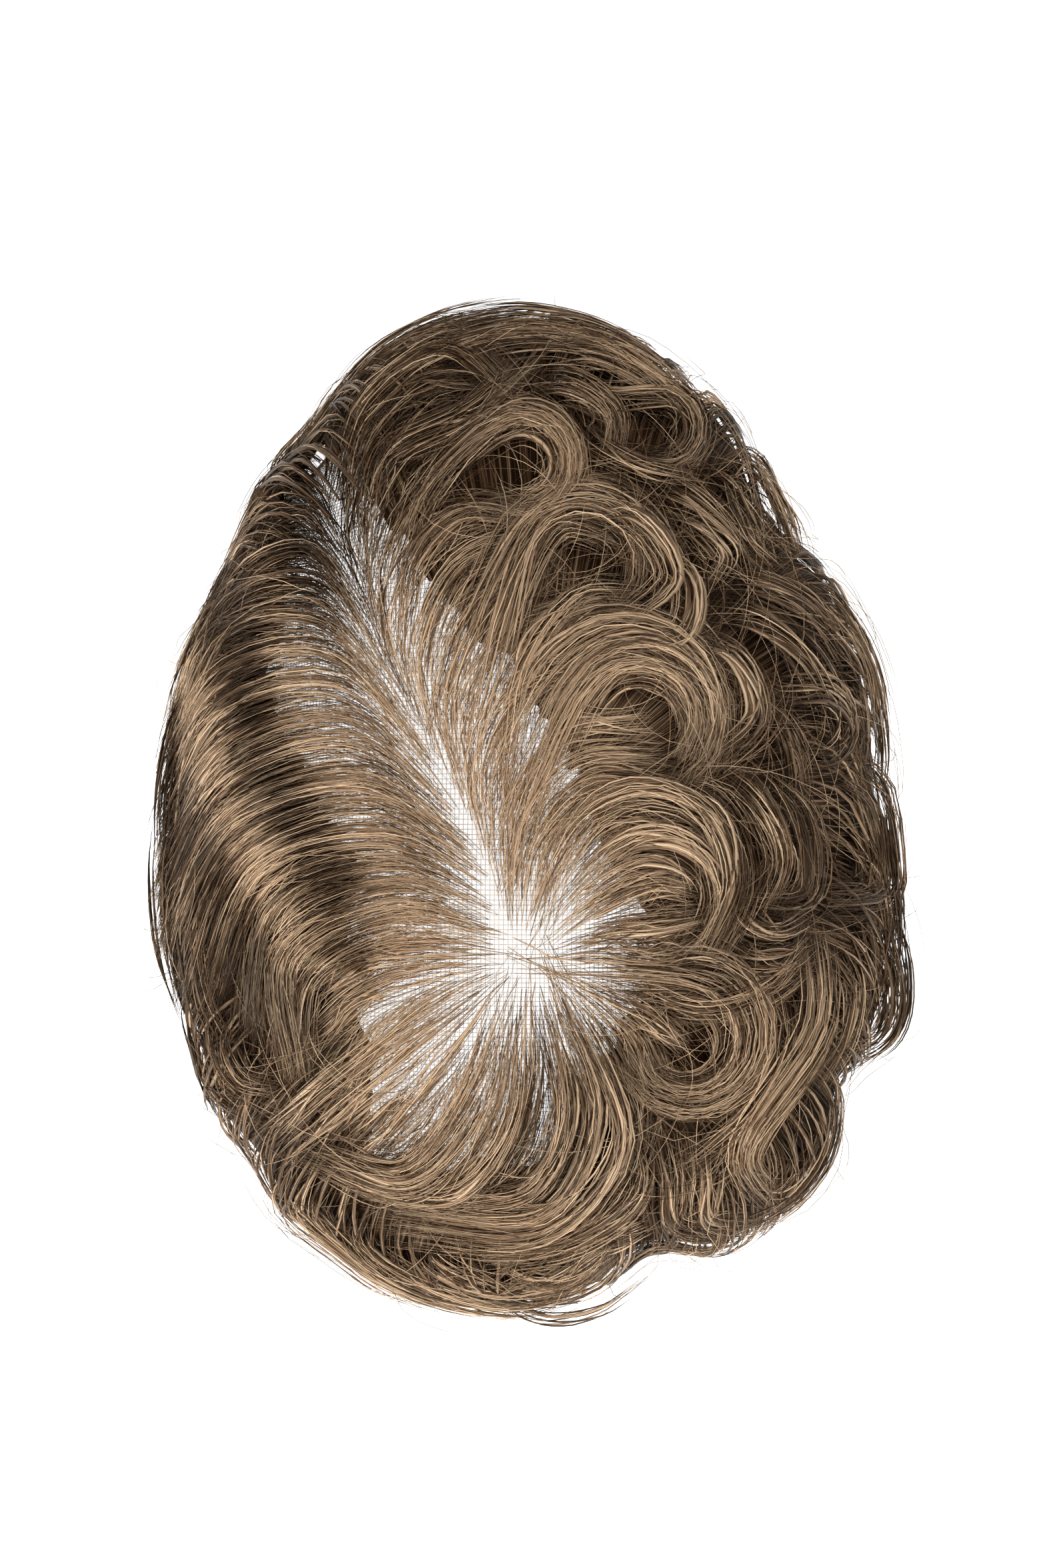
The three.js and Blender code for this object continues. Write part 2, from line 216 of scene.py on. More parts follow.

# The dark hair under the locks, a sheet that stands for the hair there and is painted dark as its shade: its
# mesh, its thickness and place within the outline, and the height of the wall that it makes all round above
# the floor.
UNDER_HAIR_AROUND = 96
UNDER_HAIR_RINGS = 44
UNDER_HAIR_FIRST_RATIO = 0.06
UNDER_HAIR_LAST_RATIO = 0.9997
UNDER_HAIR_THICK = 0.8
UNDER_HAIR_WITHIN = 0.976
UNDER_HAIR_LOWEST = 1.2
UNDER_HAIR_SHADED_TONE = 0.09
UNDER_HAIR_WALL = 18.0
UNDER_HAIR_SMOOTHING = 3

# The bare spot at the front end of the parting.
HAIRLINE_SPOT = (-50.0, 77.0)
HAIRLINE_SPOT_REACH = 8.0

# Lace threads: how far the flat lace may reach, samples that find its edge, and length of one stretch.
LACE_REACH = 150.0
LACE_EDGE_SAMPLES = 241
LACE_STRETCH = 8.0
RIM_THREAD_SAMPLES = 181
RIM_THREAD_HEIGHT = 0.45
RIM_THREAD_RADIUS = 0.4

# The bake map has cells for wisps below, and a strip above where thin strands lie side by side by tone.
BAKE_CELLS_HEIGHT = 0.8
BAKE_STRIP_FROM = 0.83
BAKE_STRIP_HEIGHT = 0.15

# Soft lights. Columns: name, place in metres, size and power.
LIGHTS = (
    ("key", (-1.0, -0.78, 0.85), 0.6, 21.0),
    ("low", (0.35, -1.3, 0.8), 0.6, 9.0),
    ("side", (1.1, 0.45, 1.0), 0.6, 9.0),
    ("top", (0.1, 0.25, 1.6), 0.9, 8.0),
)

# What the camera looks down on, in millimetres on the plan and above the floor.
CAMERA_AIM = (-1.9, 7.3, 30.0)
SENSOR_WIDTH = 36.0
FLOOR_HALF_SIZE = 4.0
SKY_STRENGTH = 0.06

# Locks that end in a thin tip stand out of the outline.
STRAY_WIDTH = 4.5
STRAY_SPARE = 0.09

# Bands of light and shade that the waves make beside the parting, in millimetres from it; the light and shade
# is painted into the tone, and the crests are also raised a little.
BAND_FIRST = 20.0
BAND_PITCH = 27.0
BAND_SHADE = 0.52
BAND_RISE = 1.2
BAND_LAST = 80.0
BAND_FADES_OVER = 30.0
BAND_BACK = -36.0

# Waves: a lock led through four places on the plan. Columns: root, rise, fall and tip places, width at the
# root and at the tip, height of the crest, and how much lighter than its neighbours the lock is, partly its
# own tone and partly painted light.
LEFT_UPPER_WAVES = (
    (-41, 56, -53, 72, -62, 70, -68, 56, 9, 8, 2.0, 0.00),
    (-37, 44, -52, 63, -66, 59, -76, 43, 10, 9, 2.5, -0.08),
    (-34, 34, -50, 54, -69, 51, -82, 32, 11, 9, 3.0, 0.00),
    (-31, 26, -49, 46, -72, 43, -85, 19, 11, 9, 3.0, -0.06),
    (-27, 18, -47, 38, -72, 34, -88, 9, 11, 9, 3.0, 0.05),
    (-23, 11, -45, 31, -72, 25, -88, -2, 11, 9, 3.0, 0.08),
    (-20, 5, -43, 24, -72, 16, -89, -12, 11, 9, 3.0, 0.04),
    (-17, -1, -41, 17, -72, 8, -90, -22, 11, 9, 3.0, -0.05),
    (-75, 32, -81, 20, -85, 4, -85, -14, 11, 10, 1.0, -0.05),
    (-69, 52, -76, 42, -81, 30, -84, 16, 10, 9, 1.0, -0.10),
    (-44, 64, -52, 78, -60, 80, -67, 68, 8, 7, 1.0, -0.05),
    (-47, 70, -54, 81, -61, 78, -67, 66, 7, 6, 0.5, 0.00),
)

LEFT_LOWER_WAVES = (
    (-15, -6, -39, 9, -71, -1, -89, -34, 11, 9, 3.0, 0.00),
    (-13, -11, -36, 2, -68, -9, -84, -47, 11, 9, 3.0, -0.05),
    (-11, -16, -33, -5, -63, -13, -77, -47, 10, 9, 3.5, 0.12),
    (-9, -21, -31, -12, -58, -21, -66, -56, 9, 8, 2.0, -0.10),
    (-8, -25, -32, -19, -57, -32, -55, -62, 8, 8, 4.0, 0.18),
    (-7, -29, -32, -26, -52, -37, -55, -58, 7, 7, 2.0, 0.05),
    (-8, -32, -25, -32, -40, -34, -50, -41, 6, 6, 0.5, 0.10),
    (-8, -35, -24, -37, -39, -42, -50, -52, 6, 6, 0.5, 0.00),
    (-77, -36, -79, -52, -74, -66, -60, -74, 9, 7, 2.0, -0.10),
    (-82, 2, -85, -14, -84, -32, -78, -50, 11, 10, 1.0, -0.06),
    (-78, -8, -81, -26, -79, -44, -71, -60, 11, 10, 1.5, -0.08),
    (-70, -42, -72, -54, -68, -62, -59, -64, 8, 6, 2.5, -0.05),
)

BACK_WAVES = (
    (-10, -38, -28, -48, -46, -61, -64, -77, 7, 8, 1.0, 0.05),
    (-9, -40, -26, -54, -44, -69, -60, -84, 7, 8, 1.5, 0.00),
    (-8, -42, -16, -66, -30, -82, -50, -78, 7, 7, 2.0, 0.05),
    (-5, -42, -11, -70, -28, -87, -55, -78, 7, 8, 2.5, 0.05),
    (-1, -43, -4, -73, -18, -89, -41, -87, 7, 8, 2.5, 0.00),
    (3, -43, 8, -70, 0, -87, -21, -91, 7, 8, 3.0, 0.05),
    (6, -42, 15, -69, 3, -93, -32, -92, 7, 8, 3.0, 0.15),
    (8, -41, 22, -76, 4, -98, -36, -96, 7, 8, 3.0, 0.05),
    (24, -70, 25, -88, 10, -100, -13, -104, 9, 8, 2.0, 0.00),
    (-50, -80, -54, -93, -42, -108, -18, -118, 10, 7, 1.0, 0.05),
    (-40, -88, -42, -100, -26, -113, 2, -119, 10, 7, 1.5, 0.12),
    (-30, -97, -28, -107, -8, -116, 14, -112, 10, 7, 1.5, 0.15),
    (-10, -100, -6, -108, 6, -110, 20, -101, 10, 6, 1.0, 0.15),
    (-12, -112, 2, -119, 16, -117, 31, -106, 4, 2, 0.5, 0.20),
    (10, -94, 14, -100, 20, -99, 28, -95, 9, 6, 1.0, 0.05),
)

RIGHT_UPPER_WAVES = (
    (30, 42, 47, 37, 53, 23, 41, 11, 9, 7, 3.0, 0.00),
    (-10, 30, -4, 50, 7, 68, 22, 64, 8, 7, 1.5, 0.05),
    (-4, 14, 0, 34, 12, 50, 26, 50, 8, 7, 1.0, 0.05),
    (4, 67, 24, 71, 34, 55, 14, 39, 8, 7, 3.0, 0.05),
    (24, 66, 38, 56, 36, 42, 17, 39, 8, 6, 3.5, 0.00),
    (27, 71, 38, 67, 45, 60, 41, 53, 7, 6, 3.0, 0.15),
    (40, 55, 53, 54, 66, 48, 75, 35, 10, 8, 2.5, -0.05),
    (40, 48, 53, 46, 65, 38, 73, 23, 10, 8, 2.0, -0.10),
    (60, 56, 72, 47, 81, 36, 82, 19, 11, 10, 1.0, -0.05),
    (72, 44, 79, 32, 82, 18, 80, 2, 11, 10, 1.0, -0.08),
    (50, 28, 57, 23, 62, 15, 64, 5, 9, 7, 1.5, -0.15),
)

RIGHT_LOWER_WAVES = (
    (4, -29, 16, -20, 28, -15, 39, -17, 7, 6, 0.5, 0.10),
    (5, -31, 18, -27, 30, -26, 41, -24, 7, 6, 0.5, 0.10),
    (28, 4, 41, 1, 47, -15, 40, -33, 9, 7, 2.5, 0.05),
    (42, 12, 52, 4, 58, -10, 53, -23, 9, 7, 3.0, -0.05),
    (48, 14, 63, 0, 64, -18, 48, -19, 9, 7, 2.0, -0.08),
    (66, 14, 81, 4, 84, -18, 69, -20, 12, 9, 2.0, -0.05),
    (70, 2, 80, -4, 80, -18, 69, -18, 9, 6, 1.5, -0.10),
    (46, -14, 50, -24, 58, -27, 67, -22, 8, 7, 2.0, -0.05),
    (42, -27, 50, -33, 60, -33, 67, -27, 8, 7, 2.0, -0.05),
    (24, -38, 40, -43, 55, -39, 65, -29, 8, 7, 2.5, 0.05),
    (66, -20, 68, -48, 50, -80, 60, -94, 9, 8, 4.0, 0.22),
    (58, -36, 60, -52, 52, -68, 34, -84, 10, 8, 2.0, -0.10),
    (72, -26, 77, -40, 75, -53, 68, -64, 9, 7, 1.5, -0.10),
    (78, -16, 88, -38, 86, -54, 71, -60, 11, 9, 1.5, -0.05),
    (76, 4, 84, -12, 86, -28, 82, -42, 11, 9, 1.5, -0.08),
    (80, -14, 84, -30, 82, -46, 74, -58, 10, 8, 1.0, -0.08),
    (66, -60, 72, -74, 65, -89, 46, -98, 10, 8, 1.5, -0.10),
    (62, -70, 63, -80, 58, -88, 50, -90, 8, 6, 1.5, -0.10),
    (40, -70, 42, -84, 42, -95, 54, -97, 9, 7, 1.5, 0.00),
    (30, -70, 33, -84, 34, -96, 46, -99, 9, 7, 1.0, 0.00),
)

FRONT_WAVES = (
    (-58, 83, -52, 104, -29, 119, 2, 124, 9, 8, 1.0, 0.05),
    (-20, 117, -2, 121, 16, 117, 32, 107, 9, 8, 1.0, 0.00),
    (-50, 73, -58, 81, -57, 91, -49, 103, 8, 7, 0.5, 0.00),
    (-36, 100, -18, 111, 2, 115, 22, 111, 9, 8, 1.0, -0.05),
    (-46, 76, -40, 96, -20, 110, -4, 98, 9, 7, 2.5, 0.05),
    (-42, 68, -38, 88, -25, 101, -10, 102, 9, 7, 2.0, 0.00),
    (-38, 60, -34, 84, -15, 94, 1, 108, 9, 7, 3.0, 0.00),
    (-30, 42, -28, 60, -17, 71, -2, 70, 8, 6, 1.5, 0.00),
    (-10, 113, 10, 116, 28, 108, 41, 95, 9, 8, 1.5, 0.05),
    (0, 108, 14, 110, 28, 103, 38, 94, 9, 7, 2.0, 0.12),
    (-4, 99, 8, 100, 18, 93, 18, 84, 8, 6, 2.5, 0.00),
    (8, 96, 14, 88, 26, 81, 40, 78, 7, 6, 2.0, -0.05),
    (42, 86, 52, 82, 58, 73, 62, 60, 5, 4, 1.0, 0.02),
    (36, 83, 46, 80, 51, 71, 56, 58, 7, 5, 1.5, -0.05),
    (38, 77, 45, 73, 51, 63, 58, 56, 7, 5, 2.0, -0.05),
    (22, 79, 36, 75, 48, 65, 54, 55, 8, 6, 2.0, 0.00),
)

# Curls: a lock led on to a ring that it follows clockwise. Columns: root, ring centre, outer and inner
# radius, start and sweep in degrees, widths, crest and tone as above.
RIGHT_UPPER_CURLS = (
    (-4, -12, 25, 21, 15, 14, 150, 190, 7, 5, 1.5, 0.08),
    (-6, -4, 25, 22, 19, 18, 152, 215, 8, 6, 3.0, 0.00),
    (-10, 8, 22, 23, 23, 22, 140, 180, 8, 6, 3.0, 0.10),
    (-12, 20, 12, 58, 14, 13, 165, 225, 8, 5, 2.5, 0.05),
    (-18, 30, 13, 57, 18, 16, 150, 170, 8, 6, 2.0, 0.00),
    (52, 34, 67, 20, 10, 8, 110, 215, 9, 6, 2.5, -0.10),
)

RIGHT_LOWER_CURLS = (
    (2, -25, 29, -19.5, 15.5, 15, 136, 200, 7, 6, 2.0, 0.10),
    (4, -22, 27, -14, 20, 19, 130, 170, 7, 6, 2.0, 0.05),
    (10, -37, 36, -52, 13, 11, 80, 250, 7, 5, 2.5, 0.00),
    (24, -37, 37, -51, 18.5, 17, 60, 220, 8, 6, 2.5, 0.00),
)

FRONT_CURLS = (
    (-34, 52, -2, 82, 12, 12, 120, 250, 8, 5, 3.0, 0.12),
    (10, 103, 30, 90, 10, 8, 110, 220, 8, 5, 3.0, 0.05),
)

# Thin hair that lies flat beside the parting and round the whorl, under the curls.
PARTING_WAVES = (
    (0, -28, 6, -14, 18, 0, 36, -2, 7, 8, 0.5, 0.08),
    (-2, -24, 1, -6, 14, 8, 34, 6, 7, 8, 0.5, 0.08),
    (-4, -21, -2, -2, 10, 13, 31, 14, 7, 8, 0.5, 0.08),
    (-5, -18, -5, 2, 6, 18, 28, 22, 7, 8, 0.5, 0.05),
    (-9, -8, -10, 12, 1, 30, 24, 36, 7, 8, 0.5, 0.05),
    (-13, 2, -15, 22, -4, 42, 18, 50, 7, 8, 0.5, 0.05),
    (-17, 10, -20, 30, -10, 50, 8, 60, 7, 8, 0.5, 0.05),
    (-22, 18, -26, 38, -17, 58, 2, 66, 7, 8, 0.5, 0.05),
    (-27, 27, -31, 46, -22, 64, -6, 74, 7, 8, 0.5, 0.00),
    (-32, 36, -36, 56, -28, 74, -12, 86, 7, 8, 0.5, 0.00),
    (-36, 48, -41, 68, -33, 86, -16, 96, 7, 8, 0.5, 0.00),
    (6, -35, 16, -38, 28, -40, 40, -40, 7, 8, 0.5, 0.05),
    (8, -40, 18, -50, 24, -64, 24, -80, 7, 8, 0.5, 0.00),
    (3, -27, 12, -17, 24, -10, 36, -10, 7, 8, 0.5, 0.05),
    (6, -33, 17, -32, 28, -33, 40, -32, 7, 8, 0.5, 0.05),
    (7, -36, 17, -41, 27, -46, 36, -54, 7, 8, 0.5, 0.05),
    (7, -38, 16, -44, 24, -52, 28, -64, 7, 8, 0.5, 0.05),
    (-8, -35, -22, -42, -36, -54, -48, -68, 7, 8, 0.5, 0.05),
    (-7, -39, -18, -54, -30, -68, -44, -82, 7, 8, 0.5, 0.05),
    (-4, -41, -12, -60, -22, -76, -36, -90, 7, 8, 0.5, 0.05),
    (0, -42, 0, -62, -6, -80, -20, -94, 7, 8, 0.5, 0.05),
)


class StrandSettings(bpy.types.PropertyGroup):
    """Sizes and colours of the hair."""

    thickness: bpy.props.FloatProperty(
        name="Strand thickness", description="Width of one drawn strand", default=0.24 * MM,
        subtype="DISTANCE", unit="LENGTH")
    strands: bpy.props.IntProperty(
        name="Strands", description="How many strands are knotted into the whole lace", default=6800)
    wisp_width: bpy.props.FloatProperty(
        name="Wisp width", description="Width of a wisp of many strands", default=1.35 * MM,
        subtype="DISTANCE", unit="LENGTH")
    wisps_per_width: bpy.props.FloatProperty(
        name="Wisps per millimetre", description="How many wisps lie across each millimetre of a lock",
        default=2.9)
    short_strands: bpy.props.IntProperty(
        name="Parting strands", description="Short light strands beside the parting", default=5500)
    strays: bpy.props.IntProperty(
        name="Stray strands", description="Single strands that cross over the locks", default=1000)
    rim_locks: bpy.props.IntProperty(
        name="Rim locks", description="Short locks that hang round the rim", default=72)
    rim_strands: bpy.props.IntProperty(
        name="Strands in a rim lock", description="Strands in each short lock", default=13)
    dark: bpy.props.FloatVectorProperty(
        name="Dark strands", description="Colour of the darkest strands", subtype="COLOR",
        default=(0.025, 0.0132, 0.0068))
    middle: bpy.props.FloatVectorProperty(
        name="Middle strands", description="Colour of most strands", subtype="COLOR",
        default=(0.168, 0.092, 0.048))
    light: bpy.props.FloatVectorProperty(
        name="Light strands", description="Colour of the lightest strands", subtype="COLOR",
        default=(0.84, 0.600, 0.385))


class LaceSettings(bpy.types.PropertyGroup):
    """Sizes and colour of the lace net."""

    pitch: bpy.props.FloatProperty(
        name="Mesh pitch", description="Distance between threads", default=0.95 * MM,
        subtype="DISTANCE", unit="LENGTH")
    thread: bpy.props.FloatProperty(
        name="Thread thickness", description="Width of one thread", default=0.15 * MM,
        subtype="DISTANCE", unit="LENGTH")
    colour: bpy.props.FloatVectorProperty(
        name="Lace colour", description="Colour of the threads", subtype="COLOR",
        default=(0.70, 0.56, 0.40))


class StageSettings(bpy.types.PropertyGroup):
    """Floor, lights and camera."""

    camera_distance: bpy.props.FloatProperty(
        name="Camera distance", description="Height of the camera above the hairpiece", default=2.0,
        subtype="DISTANCE", unit="LENGTH")
    view_height: bpy.props.FloatProperty(
        name="View height", description="Height of the picture at the hairpiece", default=0.3675,
        subtype="DISTANCE", unit="LENGTH")
    floor_glow: bpy.props.FloatProperty(
        name="Floor glow", description="How bright the floor looks", default=0.92)
    floor_bounce: bpy.props.FloatProperty(
        name="Floor bounce", description="Light that the floor gives to the hairpiece", default=0.15)


def smooth_step(value):
    t = np.clip(value, 0.0, 1.0)
    return t * t * (3.0 - 2.0 * t)


def dome_ratio(x, y, layer):
    """0 at the crown and 1 at the rim of the dome of the given layer."""
    along = (y - LACE_CENTRE_Y) / (LACE_HALF_LENGTH + layer)
    across = x / ((LACE_HALF_WIDTH + layer) * (1.0 - LACE_FRONT_TAPER * along))
    return (np.abs(across) ** LACE_CORNER + np.abs(along) ** LACE_CORNER) ** (1.0 / LACE_CORNER)


def dome_height(x, y, layer):
    """Height above the floor of the dome of the given layer."""
    ratio = np.minimum(dome_ratio(x, y, layer), 1.0)
    return (LACE_HEIGHT + layer) * np.sqrt(1.0 - ratio ** LACE_PROFILE)


def dome_place(bearing, ratio, layer):
    """Place on the dome of the given layer, for a bearing round the crown."""
    power = 2.0 / LACE_CORNER
    cosine = np.cos(bearing)
    sine = np.sin(bearing)
    along = ratio * np.sign(sine) * np.abs(sine) ** power
    across = ratio * np.sign(cosine) * np.abs(cosine) ** power
    x = across * (LACE_HALF_WIDTH + layer) * (1.0 - LACE_FRONT_TAPER * along)
    y = LACE_CENTRE_Y + along * (LACE_HALF_LENGTH + layer)
    z = (LACE_HEIGHT + layer) * np.sqrt(np.maximum(0.0, 1.0 - ratio ** LACE_PROFILE))
    return np.stack(np.broadcast_arrays(x, y, z), axis=-1)


def parting_distance(x, y):
    """Distance to the parting line, and whether the place is on its left."""
    least = np.full(np.shape(x), 1e9)
    left = np.zeros(np.shape(x), dtype=bool)
    for start, end in zip(PARTING[:-1], PARTING[1:]):
        run = end - start
        share = ((x - start[0]) * run[0] + (y - start[1]) * run[1]) / run.dot(run)
        share = np.clip(share, 0.0, 1.0)
        gap = np.hypot(x - start[0] - share * run[0], y - start[1] - share * run[1])
        side = run[0] * (y - start[1]) - run[1] * (x - start[0]) > 0.0
        left = np.where(gap < least, side, left)
        least = np.minimum(least, gap)
    return least, left


def hair_layer(x, y):
    """Thickness of the hair over the lace, thin by the parting."""
    share = smooth_step(parting_distance(x, y)[0] / THICKENS_OVER)
    return THIN_LAYER + (FULL_LAYER - THIN_LAYER) * share


def inside_outline(x, y, spare=0.0):
    """Eases places that would stand outside the outline back along it; some may have room to spare."""
    along = (y - OUTLINE_CENTRE_Y) / OUTLINE_HALF_LENGTH
    middle = OUTLINE_CENTRE_X + OUTLINE_LEAN * along
    across = (x - middle) / (OUTLINE_HALF_WIDTH * (1.0 - OUTLINE_TAPER * along))
    ratio = np.maximum(np.hypot(along, across), 1e-6)
    bearing = np.degrees(np.arctan2(along, across))
    free = np.full(np.shape(ratio), 1.0 - OUTLINE_SOFT) + spare
    for middle, reach, depth in OUTLINE_DIPS:
        apart = (bearing - middle + 180.0) % 360.0 - 180.0
        free = free - depth * np.exp(-(apart / reach) ** 2)
    eased = np.where(ratio < free, ratio, free + OUTLINE_SOFT * np.tanh((ratio - free) / OUTLINE_SOFT))
    along = along * eased / ratio
    across = across * eased / ratio
    middle = OUTLINE_CENTRE_X + OUTLINE_LEAN * along
    x = middle + across * OUTLINE_HALF_WIDTH * (1.0 - OUTLINE_TAPER * along)
    return x, OUTLINE_CENTRE_Y + along * OUTLINE_HALF_LENGTH


def fitted_layer(x, y, layer, limit=RIM_RATIO):
    """Raises a layer until its dome reaches out to the place, so that it lies within the limit there."""
    layer = np.array(layer, dtype=float)
    for _ in range(60):
        outside = dome_ratio(x, y, layer) > limit
        if not outside.any():
            break
        layer[outside] += 0.4
    return layer


def sinking_limit(along, count, rng):
    """Limits that let each strand at the edge sink to the floor from its own height."""
    first = rng.uniform(0.976, 0.996, count)[:, None]
    last = rng.uniform(0.988, 0.9992, count)[:, None]
    return first + (last - first) * along


def dome_normal(points):
    """Rough outward direction of the dome at points given in millimetres."""
    scale = np.array((LACE_HALF_WIDTH, LACE_HALF_LENGTH, LACE_HEIGHT)) + FULL_LAYER
    middle = np.array((0.0, LACE_CENTRE_Y, 0.0))
    normal = (points - middle) / scale ** 2
    return normal / np.linalg.norm(normal, axis=-1, keepdims=True)


def spline_places(places, count):
    """Even samples of a smooth line through the places, and its length."""
    places = np.asarray(places, dtype=float)
    first = 2.0 * places[0] - places[1]
    last = 2.0 * places[-1] - places[-2]
    guide = np.vstack((first, places, last))
    steps = np.sqrt(np.linalg.norm(np.diff(guide, axis=0), axis=1))
    knots = np.concatenate(((0.0,), np.cumsum(steps)))
    samples = []
    for i in range(1, len(guide) - 2):
        t0, t1, t2, t3 = knots[i - 1:i + 3]
        p0, p1, p2, p3 = guide[i - 1:i + 3]
        t = np.linspace(t1, t2, 24, endpoint=False)[:, None]
        a1 = (t1 - t) / (t1 - t0) * p0 + (t - t0) / (t1 - t0) * p1
        a2 = (t2 - t) / (t2 - t1) * p1 + (t - t1) / (t2 - t1) * p2
        a3 = (t3 - t) / (t3 - t2) * p2 + (t - t2) / (t3 - t2) * p3
        b1 = (t2 - t) / (t2 - t0) * a1 + (t - t0) / (t2 - t0) * a2
        b2 = (t3 - t) / (t3 - t1) * a2 + (t - t1) / (t3 - t1) * a3
        samples.append((t2 - t) / (t2 - t1) * b1 + (t - t1) / (t2 - t1) * b2)
    line = np.vstack(samples + [places[-1:]])
    run = np.concatenate(((0.0,), np.cumsum(np.linalg.norm(np.diff(line, axis=0), axis=1))))
    even = np.linspace(0.0, run[-1], count)
    path = np.column_stack((np.interp(even, run, line[:, 0]), np.interp(even, run, line[:, 1])))
    return path, run[-1]


def make_lock(row, places, piece, flat, inward=0.0):
    """A lock led through the places; one that roots by the parting is led back to it."""
    root_gap, root_left = parting_distance(places[0, 0], places[0, 1])
    ahead = places[1] - places[0]
    root_gap = float(root_gap)
    back = min(max(root_gap - 0.5, 0.0), LED_BACK_MOST) if root_gap < ROOTS_BY_PARTING else 0.0
    if back > LED_BACK_LEAST:
        places = np.vstack((places[0] - back * ahead / np.linalg.norm(ahead), places))
    path, length = spline_places(places, PATH_SAMPLES)
    root_width, tip_width, crest, tone = row[8:]
    return {
        "path": path, "pace": bend_pace(path), "length": length,
        "root_width": root_width, "tip_width": tip_width, "crest": crest, "tone": tone,
        "piece": piece, "flat": flat, "inward": inward, "left": bool(root_left), "root_gap": root_gap,
        "spare": STRAY_SPARE if tip_width < STRAY_WIDTH else 0.0,
    }


def bend_pace(path):
    """Share of the rings that each stretch of a path takes, more where it bends."""
    slope = np.gradient(path, axis=0)
    heading = np.unwrap(np.arctan2(slope[:, 1], slope[:, 0]))
    weight = 1.0 / (len(path) - 1.0) + BEND_WEIGHT * np.abs(np.diff(heading)) / math.pi
    return np.concatenate(((0.0,), np.cumsum(weight))) / weight.sum()


def paced_share(lock, start, end, along):
    """Shares of a lock's path from start to end, closer together where it bends."""
    at = np.linspace(0.0, 1.0, PATH_SAMPLES)
    low = np.interp(start, at, lock["pace"])
    high = np.interp(end, at, lock["pace"])
    return np.interp(low[:, None] + (high - low)[:, None] * along, lock["pace"], at)


def wave_lock(row, piece, flat=False):
    """A lock from a row of a table of waves."""
    return make_lock(row, np.array(row[:8], dtype=float).reshape(4, 2), piece, flat)


def curl_lock(row, piece):
    """A lock from a row of a table of curls."""
    root = np.array(row[:2], dtype=float)
    centre = np.array(row[2:4], dtype=float)
    outer, inner, start, sweep = row[4:8]
    share = np.linspace(0.0, 1.0, max(6, round(sweep / 30)))
    turn = np.radians(start - share * sweep)
    radius = outer + (inner - outer) * share
    ring = centre + np.column_stack((radius * np.cos(turn), radius * np.sin(turn)))
    reach = 0.5 * np.linalg.norm(ring[0] - root)
    bend = ring[0] + reach * np.array((-math.sin(turn[0]), math.cos(turn[0])))
    lead = 0.25 * root + 0.5 * bend + 0.25 * ring[0]
    return make_lock(row, np.vstack((root, lead, ring)), piece, False, 0.25 * inner)


def all_locks():
    """Every lock of the hairpiece, each with the piece that it belongs to."""
    locks = [wave_lock(row, "left_upper_waves") for row in LEFT_UPPER_WAVES]
    locks += [wave_lock(row, "left_lower_waves") for row in LEFT_LOWER_WAVES]
    locks += [wave_lock(row, "front_curls") for row in FRONT_WAVES]
    locks += [curl_lock(row, "front_curls") for row in FRONT_CURLS]
    locks += [wave_lock(row, "right_upper_curls") for row in RIGHT_UPPER_WAVES]
    locks += [curl_lock(row, "right_upper_curls") for row in RIGHT_UPPER_CURLS]
    locks += [wave_lock(row, "right_upper_curls", True) for row in PARTING_WAVES]
    locks += [wave_lock(row, "right_lower_curls") for row in RIGHT_LOWER_WAVES]
    locks += [curl_lock(row, "right_lower_curls") for row in RIGHT_LOWER_CURLS]
    locks += [wave_lock(row, "back_waves") for row in BACK_WAVES]
    return locks


def thin_distance(x, y):
    """Distance from where the hair is thinnest: the parting, and patches beside the whorl."""
    least = parting_distance(x, y)[0]
    for place_x, place_y, less in THIN_PATCHES:
        least = np.minimum(least, np.hypot(x - place_x, y - place_y) + less)
    return least


def wave_bands(x, y):
    """From -1 in the hollows to 1 on the crests of the waves on the left of the parting."""
    gap, left = parting_distance(x, y)
    fade = smooth_step(gap / BAND_FIRST) * smooth_step((BAND_LAST - gap) / BAND_FADES_OVER)
    wave = np.cos(2.0 * math.pi * (gap - BAND_FIRST) / BAND_PITCH)
    return np.where(left & (y > BAND_BACK), fade * wave, 0.0)


def painted_light_at(x, y):
    """Painted light and shade, as a change of tone at places on the plan."""
    change = PARTING_GLOW * np.exp(-(parting_distance(x, y)[0] / PARTING_GLOW_WITHIN) ** 2)
    change = change * smooth_step((PARTING_GLOW_FRONT - y) / PARTING_GLOW_FADES_OVER)
    change = change + BAND_SHADE * wave_bands(x, y)
    for place_x, place_y, reach, amount in PAINTED_LIGHT_PATCHES:
        change = change + amount * np.exp(-((x - place_x) ** 2 + (y - place_y) ** 2) / reach ** 2)
    return change


def along_path(path, share):
    """Place and left-hand direction at each share of a path."""
    at = np.linspace(0.0, 1.0, len(path))
    x = np.interp(share, at, path[:, 0])
    y = np.interp(share, at, path[:, 1])
    slope = np.gradient(path, axis=0)
    dx = np.interp(share, at, slope[:, 0])
    dy = np.interp(share, at, slope[:, 1])
    size = np.hypot(dx, dy)
    return x, y, -dy / size, dx / size


def lock_width(lock, share):
    return lock["root_width"] + (lock["tip_width"] - lock["root_width"]) * share


def fan_width(lock, share):
    """Width of a lock along it; one that roots by the parting opens like a fan from there."""
    width = lock_width(lock, share)
    if lock["root_gap"] > ROOTS_BY_PARTING:
        return width
    return width * (FAN_START + (1.0 - FAN_START) * smooth_step(share * lock["length"] / FAN_OVER))


